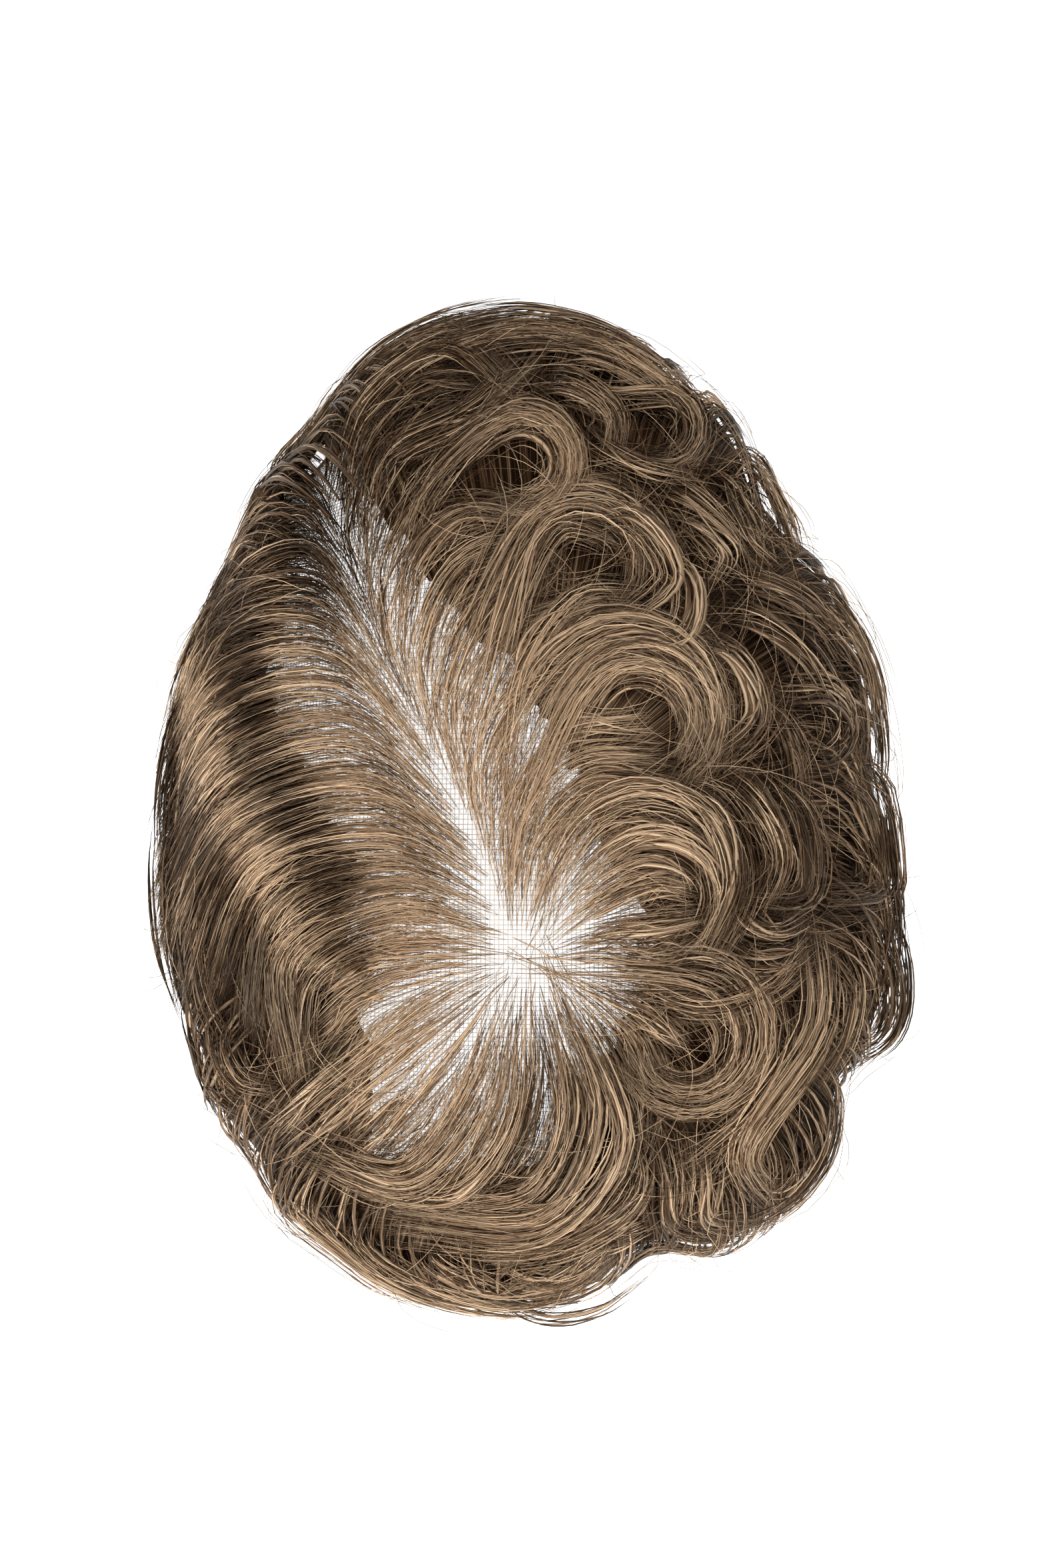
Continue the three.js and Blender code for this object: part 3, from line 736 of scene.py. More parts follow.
def lock_layer(lock, share, aside, x, y):
    """Height of a lock's top over the lace: a crest along it and a round top across it."""
    crest = lock["crest"] * np.sin(math.pi * np.minimum(1.0, 0.06 + 0.94 * share)) ** 0.8
    round_top = ROUND_TOP * lock_width(lock, share) * (1.0 - np.minimum(aside ** 2, 1.0))
    if lock["flat"]:
        round_top = round_top * FLAT_LOCK_TOP
    return hair_layer(x, y) + crest + round_top + BAND_RISE * wave_bands(x, y)


def lock_wisps(lock, rng):
    """Middle lines, half widths, lean and tones of the wisps that make up one lock."""
    settings = bpy.context.scene.hairpiece_strands
    mean_width = (lock["root_width"] + lock["tip_width"]) / 2.0
    count = max(4, int((mean_width + lock["inward"]) * settings.wisps_per_width))
    along = np.linspace(0.0, 1.0, WISP_SEGMENTS + 1)
    away = (FLAT_WISPS_CLEAR if lock["flat"] else WISPS_CLEAR) + rng.uniform(0.0, 12.0, count)
    thin = thin_distance(lock["path"][:, 0], lock["path"][:, 1])[None, :] < away[:, None]
    last_thin = np.where(thin, np.arange(PATH_SAMPLES), -1)[:, :int(PATH_SAMPLES * 0.6)].max(axis=1)
    start = (last_thin + 1.0) / (PATH_SAMPLES - 1.0)
    start = np.clip(start + rng.uniform(0.0, 7.0, count) / lock["length"], 0.0, 0.62)
    end = 1.0 - 0.34 * rng.random(count) ** 2
    share = paced_share(lock, start, end, along)
    x, y, left_x, left_y = along_path(lock["path"], share)
    inner = 0.95 + lock["inward"] / (0.5 * mean_width)
    spot = np.linspace(-inner, 0.95, count) + rng.normal(0.0, 0.12, count)
    rng.shuffle(spot)
    first = np.clip(spot, -0.95, 0.95)
    last = np.where(spot < -0.95, spot, spot * rng.uniform(0.5, 0.95, count))
    aside = first[:, None] + (last - first)[:, None] * smooth_step(share * 1.6)
    loose = rng.random(count) < LOOSE_WISPS
    swing = np.where(loose, rng.uniform(1.5, 4.0, count), rng.uniform(0.2, 1.6, count))
    sway = swing[:, None] * np.sin(
        2.0 * math.pi * rng.uniform(0.3, 0.9, count)[:, None] * along + rng.uniform(0.0, 6.3, count)[:, None])
    offset = aside * lock_width(lock, share) * 0.5 + sway
    spare = lock["spare"] + rng.normal(-0.008, 0.012, count)[:, None]
    x, y = inside_outline(x + left_x * offset, y + left_y * offset, spare)
    depth = rng.uniform(0.66, 0.98, count)
    layer = lock_layer(lock, share, aside, x, y) * depth[:, None]
    layer = layer + np.where(loose, rng.uniform(0.0, 0.9, count), 0.0)[:, None] * smooth_step(along * 2.0)
    root_run = (share - start[:, None]) * lock["length"]
    layer = 0.3 + layer * (0.35 + 0.65 * smooth_step(root_run / 14.0))
    layer = fitted_layer(x, y, layer, sinking_limit(along, count, rng))
    z = np.maximum(dome_height(x, y, layer), FLOOR_CLEARANCE + 0.6)
    swell = (0.10 + 0.90 * smooth_step(along / 0.4)) * (0.10 + 0.90 * smooth_step((1.0 - along) / 0.4))
    half = rng.uniform(0.45, 1.2, count)[:, None] * swell * settings.wisp_width / MM / 2.0
    half = half * np.where(loose, 0.55, 1.0)[:, None]
    if lock["flat"]:
        half = half * FLAT_LOCK_WISPS
    # Painted shade and light: deeper wisps are painted darker, the middle of the lock lighter and its sides
    # darker, and the painted patches are added.
    tone = WISP_TONE + lock["tone"] + 0.9 * (depth - 0.82) + rng.normal(0.0, WISP_TONE_SPREAD, count)
    tone = tone[:, None] + CREST_PAINTED_LIGHT * (0.5 - np.minimum(aside ** 2, 1.0)) + painted_light_at(x, y)
    lean = WISP_LEAN * np.clip(aside, -1.0, 1.0) * depth[:, None]
    return np.stack((x, y, z), axis=-1), half, lean, np.clip(tone, 0.02, 0.97)


def strand_roots(count, rng, near=False):
    """Knots in the lace that strands start from, thicker by the parting or only there."""
    pitch = bpy.context.scene.hairpiece_lace.pitch / MM
    tries = count * (40 if near else 7)
    u = np.round(rng.uniform(-110.0, 110.0, tries) / pitch) * pitch
    v = np.round(rng.uniform(-140.0, 140.0, tries) / pitch) * pitch
    places, inside = lace_place(u, v)
    gap, left = parting_distance(places[:, 0], places[:, 1])
    chance = FAR_ROOTS + (1.0 - FAR_ROOTS) * np.exp(-(gap / NEAR_ROOTS_WITHIN) ** 2)
    whorl = np.hypot(places[:, 0] - WHORL[0], places[:, 1] - WHORL[1])
    towards = np.arctan2(places[:, 1] - WHORL[1], places[:, 0] - WHORL[0])
    apart = (towards - THIN_BEARING + math.pi) % (2.0 * math.pi) - math.pi
    thinned = np.exp(-(apart / THIN_HALF_WIDTH) ** 4) * smooth_step((whorl - 5.0) / 8.0)
    thinned = thinned * (whorl < THIN_REACH)
    chance = chance * (0.55 + 0.45 * smooth_step(gap / 9.0)) * (1.0 - THIN_LONG * thinned)
    chance = chance * np.where(left | (places[:, 1] < -20.0) | (gap > 30.0), 1.0, 0.7)
    if near:
        patch = np.hypot(places[:, 0] - THIN_PATCH[0], places[:, 1] - THIN_PATCH[1])
        chance = 0.6 * np.exp(-(gap / SHORT_ROOTS_WITHIN) ** 2) * smooth_step((whorl - 1.0) / 12.0)
        chance = chance + 0.8 * np.exp(-((whorl - WHORL_RING) / WHORL_RING_WIDTH) ** 2)
        chance = chance + 0.1 * np.exp(-(patch / SHORT_ROOTS_WITHIN) ** 2)
        chance = chance * (1.0 - THIN_SHORT * thinned)
    return places[inside & (rng.random(tries) < chance)][:count]


def captured_strands(locks, roots, rng):
    """Leads each root along the lock that passes nearest: lock number, start share and offset."""
    best = np.full(len(roots), 1e9)
    number = np.full(len(roots), -1)
    share = np.zeros(len(roots))
    offset = np.zeros(len(roots))
    gap, left = parting_distance(roots[:, 0], roots[:, 1])
    usable = int(PATH_SAMPLES * ROOTS_ALONG)
    for i, lock in enumerate(locks):
        path = lock["path"][:usable]
        dx = roots[:, 0, None] - path[None, :, 0]
        dy = roots[:, 1, None] - path[None, :, 1]
        away = np.hypot(dx, dy)
        at = away.argmin(axis=1)
        least = away[np.arange(len(roots)), at]
        across = gap < 24.0
        crosses = across & (lock["left"] != left) & (roots[:, 1] > -26.0) & (lock["root_gap"] < 30.0)
        loose_within = 3.0 + 5.0 * smooth_step((roots[:, 1] - 10.0) / 30.0)
        crosses = crosses & ((gap > loose_within) | (rng.random(len(roots)) < 0.35))
        score = least / (lock["root_width"] * 0.5 + 1.5) + np.where(crosses, 50.0, 0.0)
        score = score + 0.35 * at / usable + rng.uniform(0.0, 0.5, len(roots))
        better = score < best
        best[better] = score[better]
        number[better] = i
        share_at = at / (PATH_SAMPLES - 1.0)
        share[better] = share_at[better]
        _, _, left_x, left_y = along_path(lock["path"], share_at)
        here = np.arange(len(roots))
        side = left_x * dx[here, at] + left_y * dy[here, at]
        offset[better] = side[better]
    return number, share, offset


def lock_strands(lock, start, offset, rng, short=False):
    """Middle lines, in millimetres, of the strands that join one lock, with tones and thickness."""
    count = len(start)
    along = np.linspace(0.0, 1.0, (SHORT_SEGMENTS if short else STRAND_SEGMENTS) + 1)
    end = np.minimum(1.0 - np.abs(rng.normal(0.0, 0.06, count)) + rng.uniform(0.0, 0.03, count), 1.0)
    if short:
        end = np.minimum(end, start + rng.uniform(18.0, 34.0, count) / lock["length"])
    share = paced_share(lock, start, end, along)
    x, y, left_x, left_y = along_path(lock["path"], share)
    width = fan_width(lock, share)
    wisps = max(3, int(round(lock["tip_width"] / 1.8)))
    spot = np.clip(offset / (fan_width(lock, start) * 0.5), -1.4, 1.4)
    target = np.clip(spot, -1.0, 1.0)
    target = (np.floor((target + 1.0) / 2.0 * wisps * 0.999) + 0.5) / wisps * 2.0 - 1.0
    target = target + rng.normal(0.0, 0.16, count)
    loose = rng.random(count) < LOOSE_STRANDS
    run = (share - start[:, None]) * lock["length"]
    gather = smooth_step((run - 24.0) / 45.0) * np.where(loose, 0.6, 0.94)[:, None]
    aside_mm = (spot[:, None] * (1.0 - gather) + target[:, None] * gather) * width * 0.5
    sway = np.where(loose, rng.uniform(1.0, 5.0, count), rng.uniform(0.1, 1.6 if short else 0.8, count))
    phase = rng.uniform(0.0, 2.0 * math.pi, count)
    waves = rng.uniform(0.4, 1.2, count)
    wander = sway[:, None] * np.sin(2.0 * math.pi * waves[:, None] * along + phase[:, None])
    aside_mm = aside_mm + wander * smooth_step(along * 2.5)
    aside_mm = aside_mm + rng.normal(0.0, 0.5, count)[:, None] * smooth_step(run / 7.0)
    spare = lock["spare"] + rng.normal(-0.004, 0.014, count)
    spare = spare + np.where(loose, rng.uniform(0.0, 0.03, count), 0.0)
    x, y = inside_outline(x + left_x * aside_mm, y + left_y * aside_mm, spare[:, None])
    aside = np.clip(aside_mm / (width * 0.5), -1.3, 1.3)
    depth = np.clip(0.5 + 0.62 * (1.0 - start) + rng.uniform(-0.25, 0.12, count), 0.35, 1.06)
    top = lock_layer(lock, share, aside, x, y) * depth[:, None] + 0.35
    top = top + np.where(loose, rng.uniform(0.2, 2.0, count), 0.0)[:, None] * smooth_step(along * 2.0)
    layer = 0.12 + top * smooth_step(run / 13.0) * (0.5 if short else 1.0)
    layer = fitted_layer(x, y, layer, sinking_limit(along, count, rng))
    z = np.maximum(dome_height(x, y, layer), FLOOR_CLEARANCE)
    # Painted shade and light: deeper strands are painted darker, short ones lighter, and the painted patches
    # are added.
    tone = STRAND_TONE + lock["tone"] + 0.4 * (depth - 0.8) + rng.normal(0.0, STRAND_TONE_SPREAD, count)
    tone = tone[:, None] + painted_light_at(x, y) + (SHORT_STRAND_GLOW if short else 0.0)
    thin = np.where(loose, 0.7, np.where(rng.random(count) < 0.3, 1.7, rng.uniform(0.85, 1.15, count)))
    return np.stack((x, y, z), axis=-1), np.clip(tone, 0.03, 0.97), thin


def stray_strands(locks, count, rng):
    """Middle lines, tones and thickness of single strands that cross over the locks."""
    bearing = rng.uniform(0.0, 2.0 * math.pi, count)
    roots = dome_place(bearing, 0.3 + 0.66 * np.sqrt(rng.random(count)), 0.0)
    gap, left = parting_distance(roots[:, 0], roots[:, 1])
    roots = roots[(gap > 24.0) & (~left | (rng.random(count) < 0.35))]
    count = len(roots)
    number, share, _ = captured_strands(locks, roots, rng)
    heading = np.empty(count)
    for i in np.unique(number):
        mine = number == i
        _, _, left_x, left_y = along_path(locks[i]["path"], share[mine])
        heading[mine] = np.arctan2(-left_x, left_y)
    heading = heading + rng.normal(0.0, 0.45, count)
    length = rng.uniform(22.0, 60.0, count)
    bend = rng.choice((-1.0, 1.0), count, p=(0.75, 0.25)) / rng.uniform(15.0, 50.0, count)
    along = np.linspace(0.0, 1.0, STRAND_SEGMENTS + 1)
    turn = heading[:, None] + bend[:, None] * length[:, None] * along
    step = length[:, None] / STRAND_SEGMENTS
    x = roots[:, :1] + np.cumsum(np.cos(turn) * step, axis=1)
    y = roots[:, 1:2] + np.cumsum(np.sin(turn) * step, axis=1)
    x, y = inside_outline(x, y, rng.uniform(-0.02, 0.05, count)[:, None])
    top = hair_layer(x, y) + rng.uniform(1.2, 4.0, count)[:, None]
    layer = fitted_layer(x, y, top * (0.4 + 0.6 * smooth_step(along * 5.0)))
    z = np.maximum(dome_height(x, y, layer), FLOOR_CLEARANCE)
    tone = np.clip(STRAY_TONE + rng.normal(0.0, 0.2, count), 0.1, 0.97)
    return np.stack((x, y, z), axis=-1), tone, rng.uniform(0.5, 0.8, count)


def rim_strands(count, strands, rng):
    """Middle lines of the short locks that drop down the steep edge to the floor."""
    along = np.linspace(0.0, 1.0, RIM_SEGMENTS + 1)
    lines = []
    tones = []
    for i in range(count):
        bearing = (i + rng.uniform(-0.3, 0.3)) / count * 2.0 * math.pi
        slant = math.radians(rng.uniform(4.0, 13.0)) * (1.0 if math.cos(bearing) < 0.0 else -1.0)
        spread = np.clip(rng.normal(0.0, 0.5, strands), -1.2, 1.2)
        start = rng.uniform(0.78, 0.94, strands)
        ratio = start[:, None] + (0.9990 - start[:, None]) * (0.6 * along + 0.4 * along ** 0.5)
        narrow = 1.0 - 0.65 * smooth_step(along)
        turn = bearing + slant * along ** 1.3 + math.radians(4.2) * spread[:, None] * narrow
        turn = turn + math.radians(1.2) * np.sin(2.5 * along + rng.uniform(0, 6, strands)[:, None])
        depth = rng.uniform(0.95, 1.3, strands)
        bulge = rng.uniform(0.1, 0.8) + 0.8 * (1.0 - spread[:, None] ** 2 / 1.44)
        layer = FULL_LAYER * depth[:, None] + bulge * depth[:, None] * np.sin(math.pi * along)
        layer = layer * (0.5 + 0.5 * smooth_step(along * 3.0))
        line = dome_place(turn, ratio, layer)
        room = rng.uniform(-0.018, 0.008, strands)[:, None]
        line[..., 0], line[..., 1] = inside_outline(line[..., 0], line[..., 1], room)
        line[..., 2] = np.maximum(line[..., 2], FLOOR_CLEARANCE)
        lines.append(line)
        tone = RIM_TONE + rng.normal(0.0, 0.06) + rng.normal(0.0, 0.13, strands)
        tones.append(np.clip(tone, 0.02, 0.98))
    return np.concatenate(lines), np.concatenate(tones)


def ring_pairs(values):
    """Values at the two rings beside each stretch of a tube, in the order of a face's corners."""
    return np.stack((values[..., :-1], values[..., :-1], values[..., 1:], values[..., 1:]), axis=-1)


def tubes(lines, half_width, half_thick, sides, tone, cells=None, lean=None):
    """Closed tubes along middle lines of equal count, as arrays that mesh_piece joins.

    Tubes with cells have a place of their own on the bake map; the others share a strip by tone.
    A tube with lean is turned about its middle line to that slope across it.
    """
    strands, rings, _ = lines.shape
    tone = np.broadcast_to(tone.reshape(len(tone), -1), (strands, rings))
    ahead = np.gradient(lines, axis=1)
    ahead /= np.maximum(np.linalg.norm(ahead, axis=-1, keepdims=True), 1e-9)
    up = dome_normal(lines)
    side = np.cross(up, ahead)
    side /= np.maximum(np.linalg.norm(side, axis=-1, keepdims=True), 1e-9)
    up = np.cross(ahead, side)
    if lean is not None:
        slope = lean[:, :, None]
        size = np.sqrt(1.0 + slope ** 2)
        side, up = (side + up * slope) / size, (up - side * slope) / size
    turn = np.arange(sides) * 2.0 * math.pi / sides + (math.pi / 2.0 if sides == 3 else 0.0)
    ring = (side[:, :, None, :] * np.cos(turn)[:, None] * half_width[:, :, None, None]
            + up[:, :, None, :] * np.sin(turn)[:, None] * half_thick[:, :, None, None])
    corners = lines[:, :, None, :] + ring
    base = (np.arange(strands) * rings * sides)[:, None, None]
    step = (np.arange(rings - 1) * sides)[None, :, None]
    k = np.arange(sides)[None, None, :]
    k_next = (k + 1) % sides
    quads = np.stack((base + step + k, base + step + k_next, base + step + sides + k_next,
                      base + step + sides + k), axis=-1)
    first = base[:, 0]
    ends = np.concatenate((first + np.arange(sides)[::-1], first + (rings - 1) * sides + np.arange(sides)))
    run = np.concatenate((np.zeros((strands, 1)), np.cumsum(
        np.linalg.norm(np.diff(lines, axis=1), axis=-1), axis=1)), axis=1)
    share = np.linspace(0.0, 1.0, rings)
    corner = np.arange(sides)
    around = np.stack((corner, corner + 1, corner + 1, corner), axis=-1) / sides
    flow = np.empty(quads.shape + (2,))
    girth = 4.0 * half_width.max(axis=1)
    flow[..., 0] = (np.arange(strands) * 7.31)[:, None, None, None] + girth[:, None, None, None] * around
    flow[..., 1] = ring_pairs(run)[:, :, None, :]
    bake = np.empty(quads.shape + (2,))
    length = ring_pairs(share)[None, :, None, :]
    if cells:
        columns, rows = cells
        column = (np.arange(strands) % columns)[:, None, None, None]
        row = (np.arange(strands) // columns)[:, None, None, None]
        bake[..., 0] = (column + 0.06 + 0.88 * around) / columns
        bake[..., 1] = BAKE_CELLS_HEIGHT * (row + 0.04 + 0.92 * length) / rows
    else:
        bake[..., 0] = 0.01 + 0.975 * tone.mean(axis=1)[:, None, None, None] + 0.002 * around
        bake[..., 1] = BAKE_STRIP_FROM + BAKE_STRIP_HEIGHT * length
    end_maps = [
        np.concatenate((np.repeat(values[:, :1, :1, 0], sides, axis=2)[:, 0],
                        np.repeat(values[:, -1:, :1, 2], sides, axis=2)[:, 0]))
        for values in (flow, bake)]
    return {
        "corners": corners.reshape(-1, 3),
        "tone": np.repeat(tone.ravel(), sides),
        "along": np.tile(np.repeat(share, sides), strands),
        "faces": [(quads.reshape(-1, 4), flow, bake), (ends.reshape(-1, sides), *end_maps)],
    }


def mesh_piece(name, parts, material):
    """One smooth mesh piece joined from arrays of tubes, in millimetres."""
    mesh = bpy.data.meshes.new(name)
    corners = (np.concatenate([part["corners"] for part in parts]) + PLAN_SHIFT) * MM
    used = 0
    loops = []
    sizes = []
    flows = []
    bakes = []
    for part in parts:
        for faces, flow, bake in part["faces"]:
            loops.append((faces + used).ravel())
            sizes.append(np.full(len(faces), faces.shape[1]))
            flows.append(flow.reshape(-1, 2))
            bakes.append(bake.reshape(-1, 2))
        used += len(part["corners"])
    loops = np.concatenate(loops).astype(np.int32)
    sizes = np.concatenate(sizes)
    mesh.vertices.add(len(corners))
    mesh.vertices.foreach_set("co", corners.ravel())
    mesh.loops.add(len(loops))
    mesh.loops.foreach_set("vertex_index", loops)
    mesh.polygons.add(len(sizes))
    starts = np.concatenate(((0,), np.cumsum(sizes)[:-1]))
    mesh.polygons.foreach_set("loop_start", starts.astype(np.int32))
    mesh.polygons.foreach_set("loop_total", sizes.astype(np.int32))
    mesh.polygons.foreach_set("use_smooth", np.ones(len(sizes), dtype=bool))
    for label, values in (("OFBake", bakes), ("Flow", flows)):
        layer = mesh.uv_layers.new(name=label)
        layer.data.foreach_set("uv", np.concatenate(values).astype(np.float32).ravel())
    for label in ("tone", "along"):
        attribute = mesh.attributes.new(label, "FLOAT", "POINT")
        values = np.concatenate([part[label] for part in parts])
        attribute.data.foreach_set("value", values.astype(np.float32))
    mesh.update(calc_edges=True)
    mesh.validate()
    mesh.materials.append(material)
    piece = bpy.data.objects.new(name, mesh)
    bpy.context.collection.objects.link(piece)
    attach(piece, "root")
    return piece


def strand_radius(thin, rings, thickness):
    """Radius along strands that are thinner at both ends."""
    along = np.linspace(0.0, 1.0, rings)
    taper = 0.25 + 0.75 * smooth_step((1.0 - along) / 0.3)
    taper = taper * (0.5 + 0.5 * smooth_step(along / 0.4))
    return thin[:, None] * taper[None, :] * thickness / MM / 2.0


def strand_tubes(lines, tones, thins):
    """Thin round tubes along the middle lines of strands."""
    thickness = bpy.context.scene.hairpiece_strands.thickness
    radius = strand_radius(thins, lines.shape[1], thickness)
    return tubes(lines, radius, radius, STRAND_SIDES, tones)


def joined(groups):
    """Groups of arrays joined array by array."""
    return [np.concatenate(arrays) for arrays in zip(*groups)]


def hair_piece(name, node, seed):
    """One joined piece: the wisps and strands of the locks that belong to it."""
    settings = bpy.context.scene.hairpiece_strands
    locks = all_locks()
    roots = strand_roots(settings.strands, np.random.default_rng(5))
    number, share, offset = captured_strands(locks, roots, np.random.default_rng(6))
    rng = np.random.default_rng(seed)
    wisps = []
    strands = []
    for i, lock in enumerate(locks):
        if lock["piece"] != name:
            continue
        wisps.append(lock_wisps(lock, rng))
        mine = number == i
        if mine.any():
            strands.append(lock_strands(lock, share[mine], offset[mine], rng))
    lines, half, lean, tones = joined(wisps)
    columns = math.ceil(math.sqrt(len(lines) * 4.0))
    rows = math.ceil(len(lines) / columns)
    wisps = tubes(lines, half, half * WISP_FLATNESS, WISP_SIDES, tones, (columns, rows), lean)
    piece = mesh_piece(name, (wisps, strand_tubes(*joined(strands))), hair_material("brown hair"))
    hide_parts(node)


def parting_piece(name, seed):
    """One joined piece: the short light strands on both sides of the parting and round the whorl."""
    settings = bpy.context.scene.hairpiece_strands
    locks = all_locks()
    roots = strand_roots(settings.short_strands, np.random.default_rng(7), True)
    number, share, offset = captured_strands(locks, roots, np.random.default_rng(8))
    rng = np.random.default_rng(seed)
    strands = []
    for i in np.unique(number):
        mine = number == i
        strands.append(lock_strands(locks[i], share[mine], offset[mine], rng, True))
    piece = mesh_piece(name, (strand_tubes(*joined(strands)),), hair_material("brown hair"))


def strand_colour_group():
    """Shader group: colour, roughness and fine height of hair from its tone and the flow along it."""
    name = "Strand colour"
    if name in bpy.data.node_groups:
        return bpy.data.node_groups[name]
    group = bpy.data.node_groups.new(name, "ShaderNodeTree")
    face = group.interface
    for label in ("Dark", "Middle", "Light"):
        face.new_socket(name=label, in_out="INPUT", socket_type="NodeSocketColor")
    face.new_socket(name="Colour", in_out="OUTPUT", socket_type="NodeSocketColor")
    face.new_socket(name="Roughness", in_out="OUTPUT", socket_type="NodeSocketFloat")
    face.new_socket(name="Height", in_out="OUTPUT", socket_type="NodeSocketFloat")
    nodes = group.nodes
    links = group.links
    given = nodes.new("NodeGroupInput")
    result = nodes.new("NodeGroupOutput")
    flow = nodes.new("ShaderNodeUVMap")
    flow.uv_map = "Flow"
    tone = nodes.new("ShaderNodeAttribute")
    tone.attribute_name = "tone"
    along = nodes.new("ShaderNodeAttribute")
    along.attribute_name = "along"

    def streaks(across, length):
        stretch = nodes.new("ShaderNodeMapping")
        stretch.inputs["Scale"].default_value = (1.0 / across, 1.0 / length, 1.0)
        links.new(flow.outputs["UV"], stretch.inputs["Vector"])
        noise = nodes.new("ShaderNodeTexNoise")
        noise.noise_dimensions = "2D"
        noise.inputs["Scale"].default_value = 1.0
        noise.inputs["Detail"].default_value = 2.0
        links.new(stretch.outputs["Vector"], noise.inputs["Vector"])
        return noise.outputs["Fac"]

    def spread(value, low, high, to_low, to_high):
        node = nodes.new("ShaderNodeMapRange")
        node.inputs["From Min"].default_value = low
        node.inputs["From Max"].default_value = high
        node.inputs["To Min"].default_value = to_low
        node.inputs["To Max"].default_value = to_high
        links.new(value, node.inputs["Value"])
        return node.outputs["Result"]

    def add(first, second, clamp=False):
        node = nodes.new("ShaderNodeMath")
        node.operation = "ADD"
        node.use_clamp = clamp
        links.new(first, node.inputs[0])
        links.new(second, node.inputs[1])
        return node.outputs["Value"]

    def mixed(share, first, second):
        node = nodes.new("ShaderNodeMix")
        node.data_type = "RGBA"
        links.new(share, node.inputs["Factor"])
        links.new(first, node.inputs["A"])
        links.new(second, node.inputs["B"])
        return node.outputs["Result"]

    fine = streaks(0.25, 30.0)
    broad = streaks(0.6, 45.0)
    total = add(tone.outputs["Fac"], spread(fine, 0.35, 0.65, -0.32, 0.32))
    total = add(total, spread(broad, 0.35, 0.65, -0.34, 0.34))
    total = add(total, spread(along.outputs["Fac"], 0.0, 0.5, -0.12, 0.05), True)
    lower = mixed(spread(total, 0.0, 0.45, 0.0, 1.0), given.outputs["Dark"], given.outputs["Middle"])
    colour = mixed(spread(total, 0.45, 1.0, 0.0, 1.0), lower, given.outputs["Light"])
    links.new(colour, result.inputs["Colour"])
    links.new(spread(total, 0.0, 1.0, 0.34, 0.42), result.inputs["Roughness"])
    links.new(add(fine, broad), result.inputs["Height"])
    return group


def new_material(name):
    """A material with its nodes, links and shader."""
    material = bpy.data.materials.new(name)
    material.use_nodes = True
    nodes = material.node_tree.nodes
    return material, nodes, material.node_tree.links, nodes["Principled BSDF"]


def hair_material(name, shade=1.0, gloss=0.6):
    """Streaked hair with a long gloss along the flow; a shade below 1 darkens every colour into a
    painted-shade copy.
    """
    if name in bpy.data.materials:
        return bpy.data.materials[name]
    settings = bpy.context.scene.hairpiece_strands
    material, nodes, links, shader = new_material(name)
    colour = nodes.new("ShaderNodeGroup")
    colour.node_tree = strand_colour_group()
    for label, value in (("Dark", settings.dark), ("Middle", settings.middle), ("Light", settings.light)):
        colour.inputs[label].default_value = tuple(min(1.0, c * shade) for c in value) + (1.0,)
    bump = nodes.new("ShaderNodeBump")
    bump.inputs["Strength"].default_value = 0.8
    bump.inputs["Distance"].default_value = 0.3 * MM
    links.new(colour.outputs["Height"], bump.inputs["Height"])
    links.new(bump.outputs["Normal"], shader.inputs["Normal"])
    links.new(colour.outputs["Colour"], shader.inputs["Base Color"])
    links.new(colour.outputs["Roughness"], shader.inputs["Roughness"])
    across = nodes.new("ShaderNodeTangent")
    across.direction_type = "UV_MAP"
    across.uv_map = "Flow"
    links.new(across.outputs["Tangent"], shader.inputs["Tangent"])
    shader.inputs["Anisotropic"].default_value = 0.8
    shader.inputs["Specular IOR Level"].default_value = gloss
    shader.inputs["Specular Tint"].default_value = (1.0, 0.8, 0.56, 1.0)
    return material


def lace_material():
    """Pale thread with fine flecks."""
    name = "lace thread"
    if name in bpy.data.materials:
        return bpy.data.materials[name]
    settings = bpy.context.scene.hairpiece_lace
    material, nodes, links, shader = new_material(name)
    place = nodes.new("ShaderNodeTexCoord")
    fleck = nodes.new("ShaderNodeTexNoise")
    fleck.inputs["Scale"].default_value = 420.0
    links.new(place.outputs["Object"], fleck.inputs["Vector"])
    ramp = nodes.new("ShaderNodeValToRGB")
    ramp.color_ramp.elements[0].color = tuple(c * 0.72 for c in settings.colour) + (1.0,)
    ramp.color_ramp.elements[1].color = tuple(min(1.0, c * 1.2) for c in settings.colour) + (1.0,)
    links.new(fleck.outputs["Fac"], ramp.inputs["Fac"])
    links.new(ramp.outputs["Color"], shader.inputs["Base Color"])
    shader.inputs["Roughness"].default_value = 0.7
    return material


def lace_place(u, v):
    """From the flat lace, in millimetres, to the dome."""
    flat_x = math.pi / 2.0 * math.sqrt((LACE_HALF_WIDTH ** 2 + LACE_HEIGHT ** 2) / 2.0)
    flat_y = math.pi / 2.0 * math.sqrt((LACE_HALF_LENGTH ** 2 + LACE_HEIGHT ** 2) / 2.0)
    across = u / flat_x
    along = v / flat_y
    flat = (np.abs(across) ** LACE_CORNER + np.abs(along) ** LACE_CORNER) ** (1.0 / LACE_CORNER)
    inside = flat <= 1.0
    ratio = np.sin(math.pi / 2.0 * np.minimum(flat, 1.0))
    scale = ratio / np.maximum(flat, 1e-6)
    across = across * scale
    along = along * scale
    x = across * LACE_HALF_WIDTH * (1.0 - LACE_FRONT_TAPER * along)
    y = LACE_CENTRE_Y + along * LACE_HALF_LENGTH
    z = LACE_HEIGHT * np.sqrt(np.maximum(0.0, 1.0 - ratio ** LACE_PROFILE))
    return np.stack((x, y, z), axis=-1), inside


def thread_places(run, across, ahead, aside):
    """Places on the dome along a thread of the flat lace, and which of them lie on it."""
    return lace_place(aside[0] * across + ahead[0] * run, aside[1] * across + ahead[1] * run)


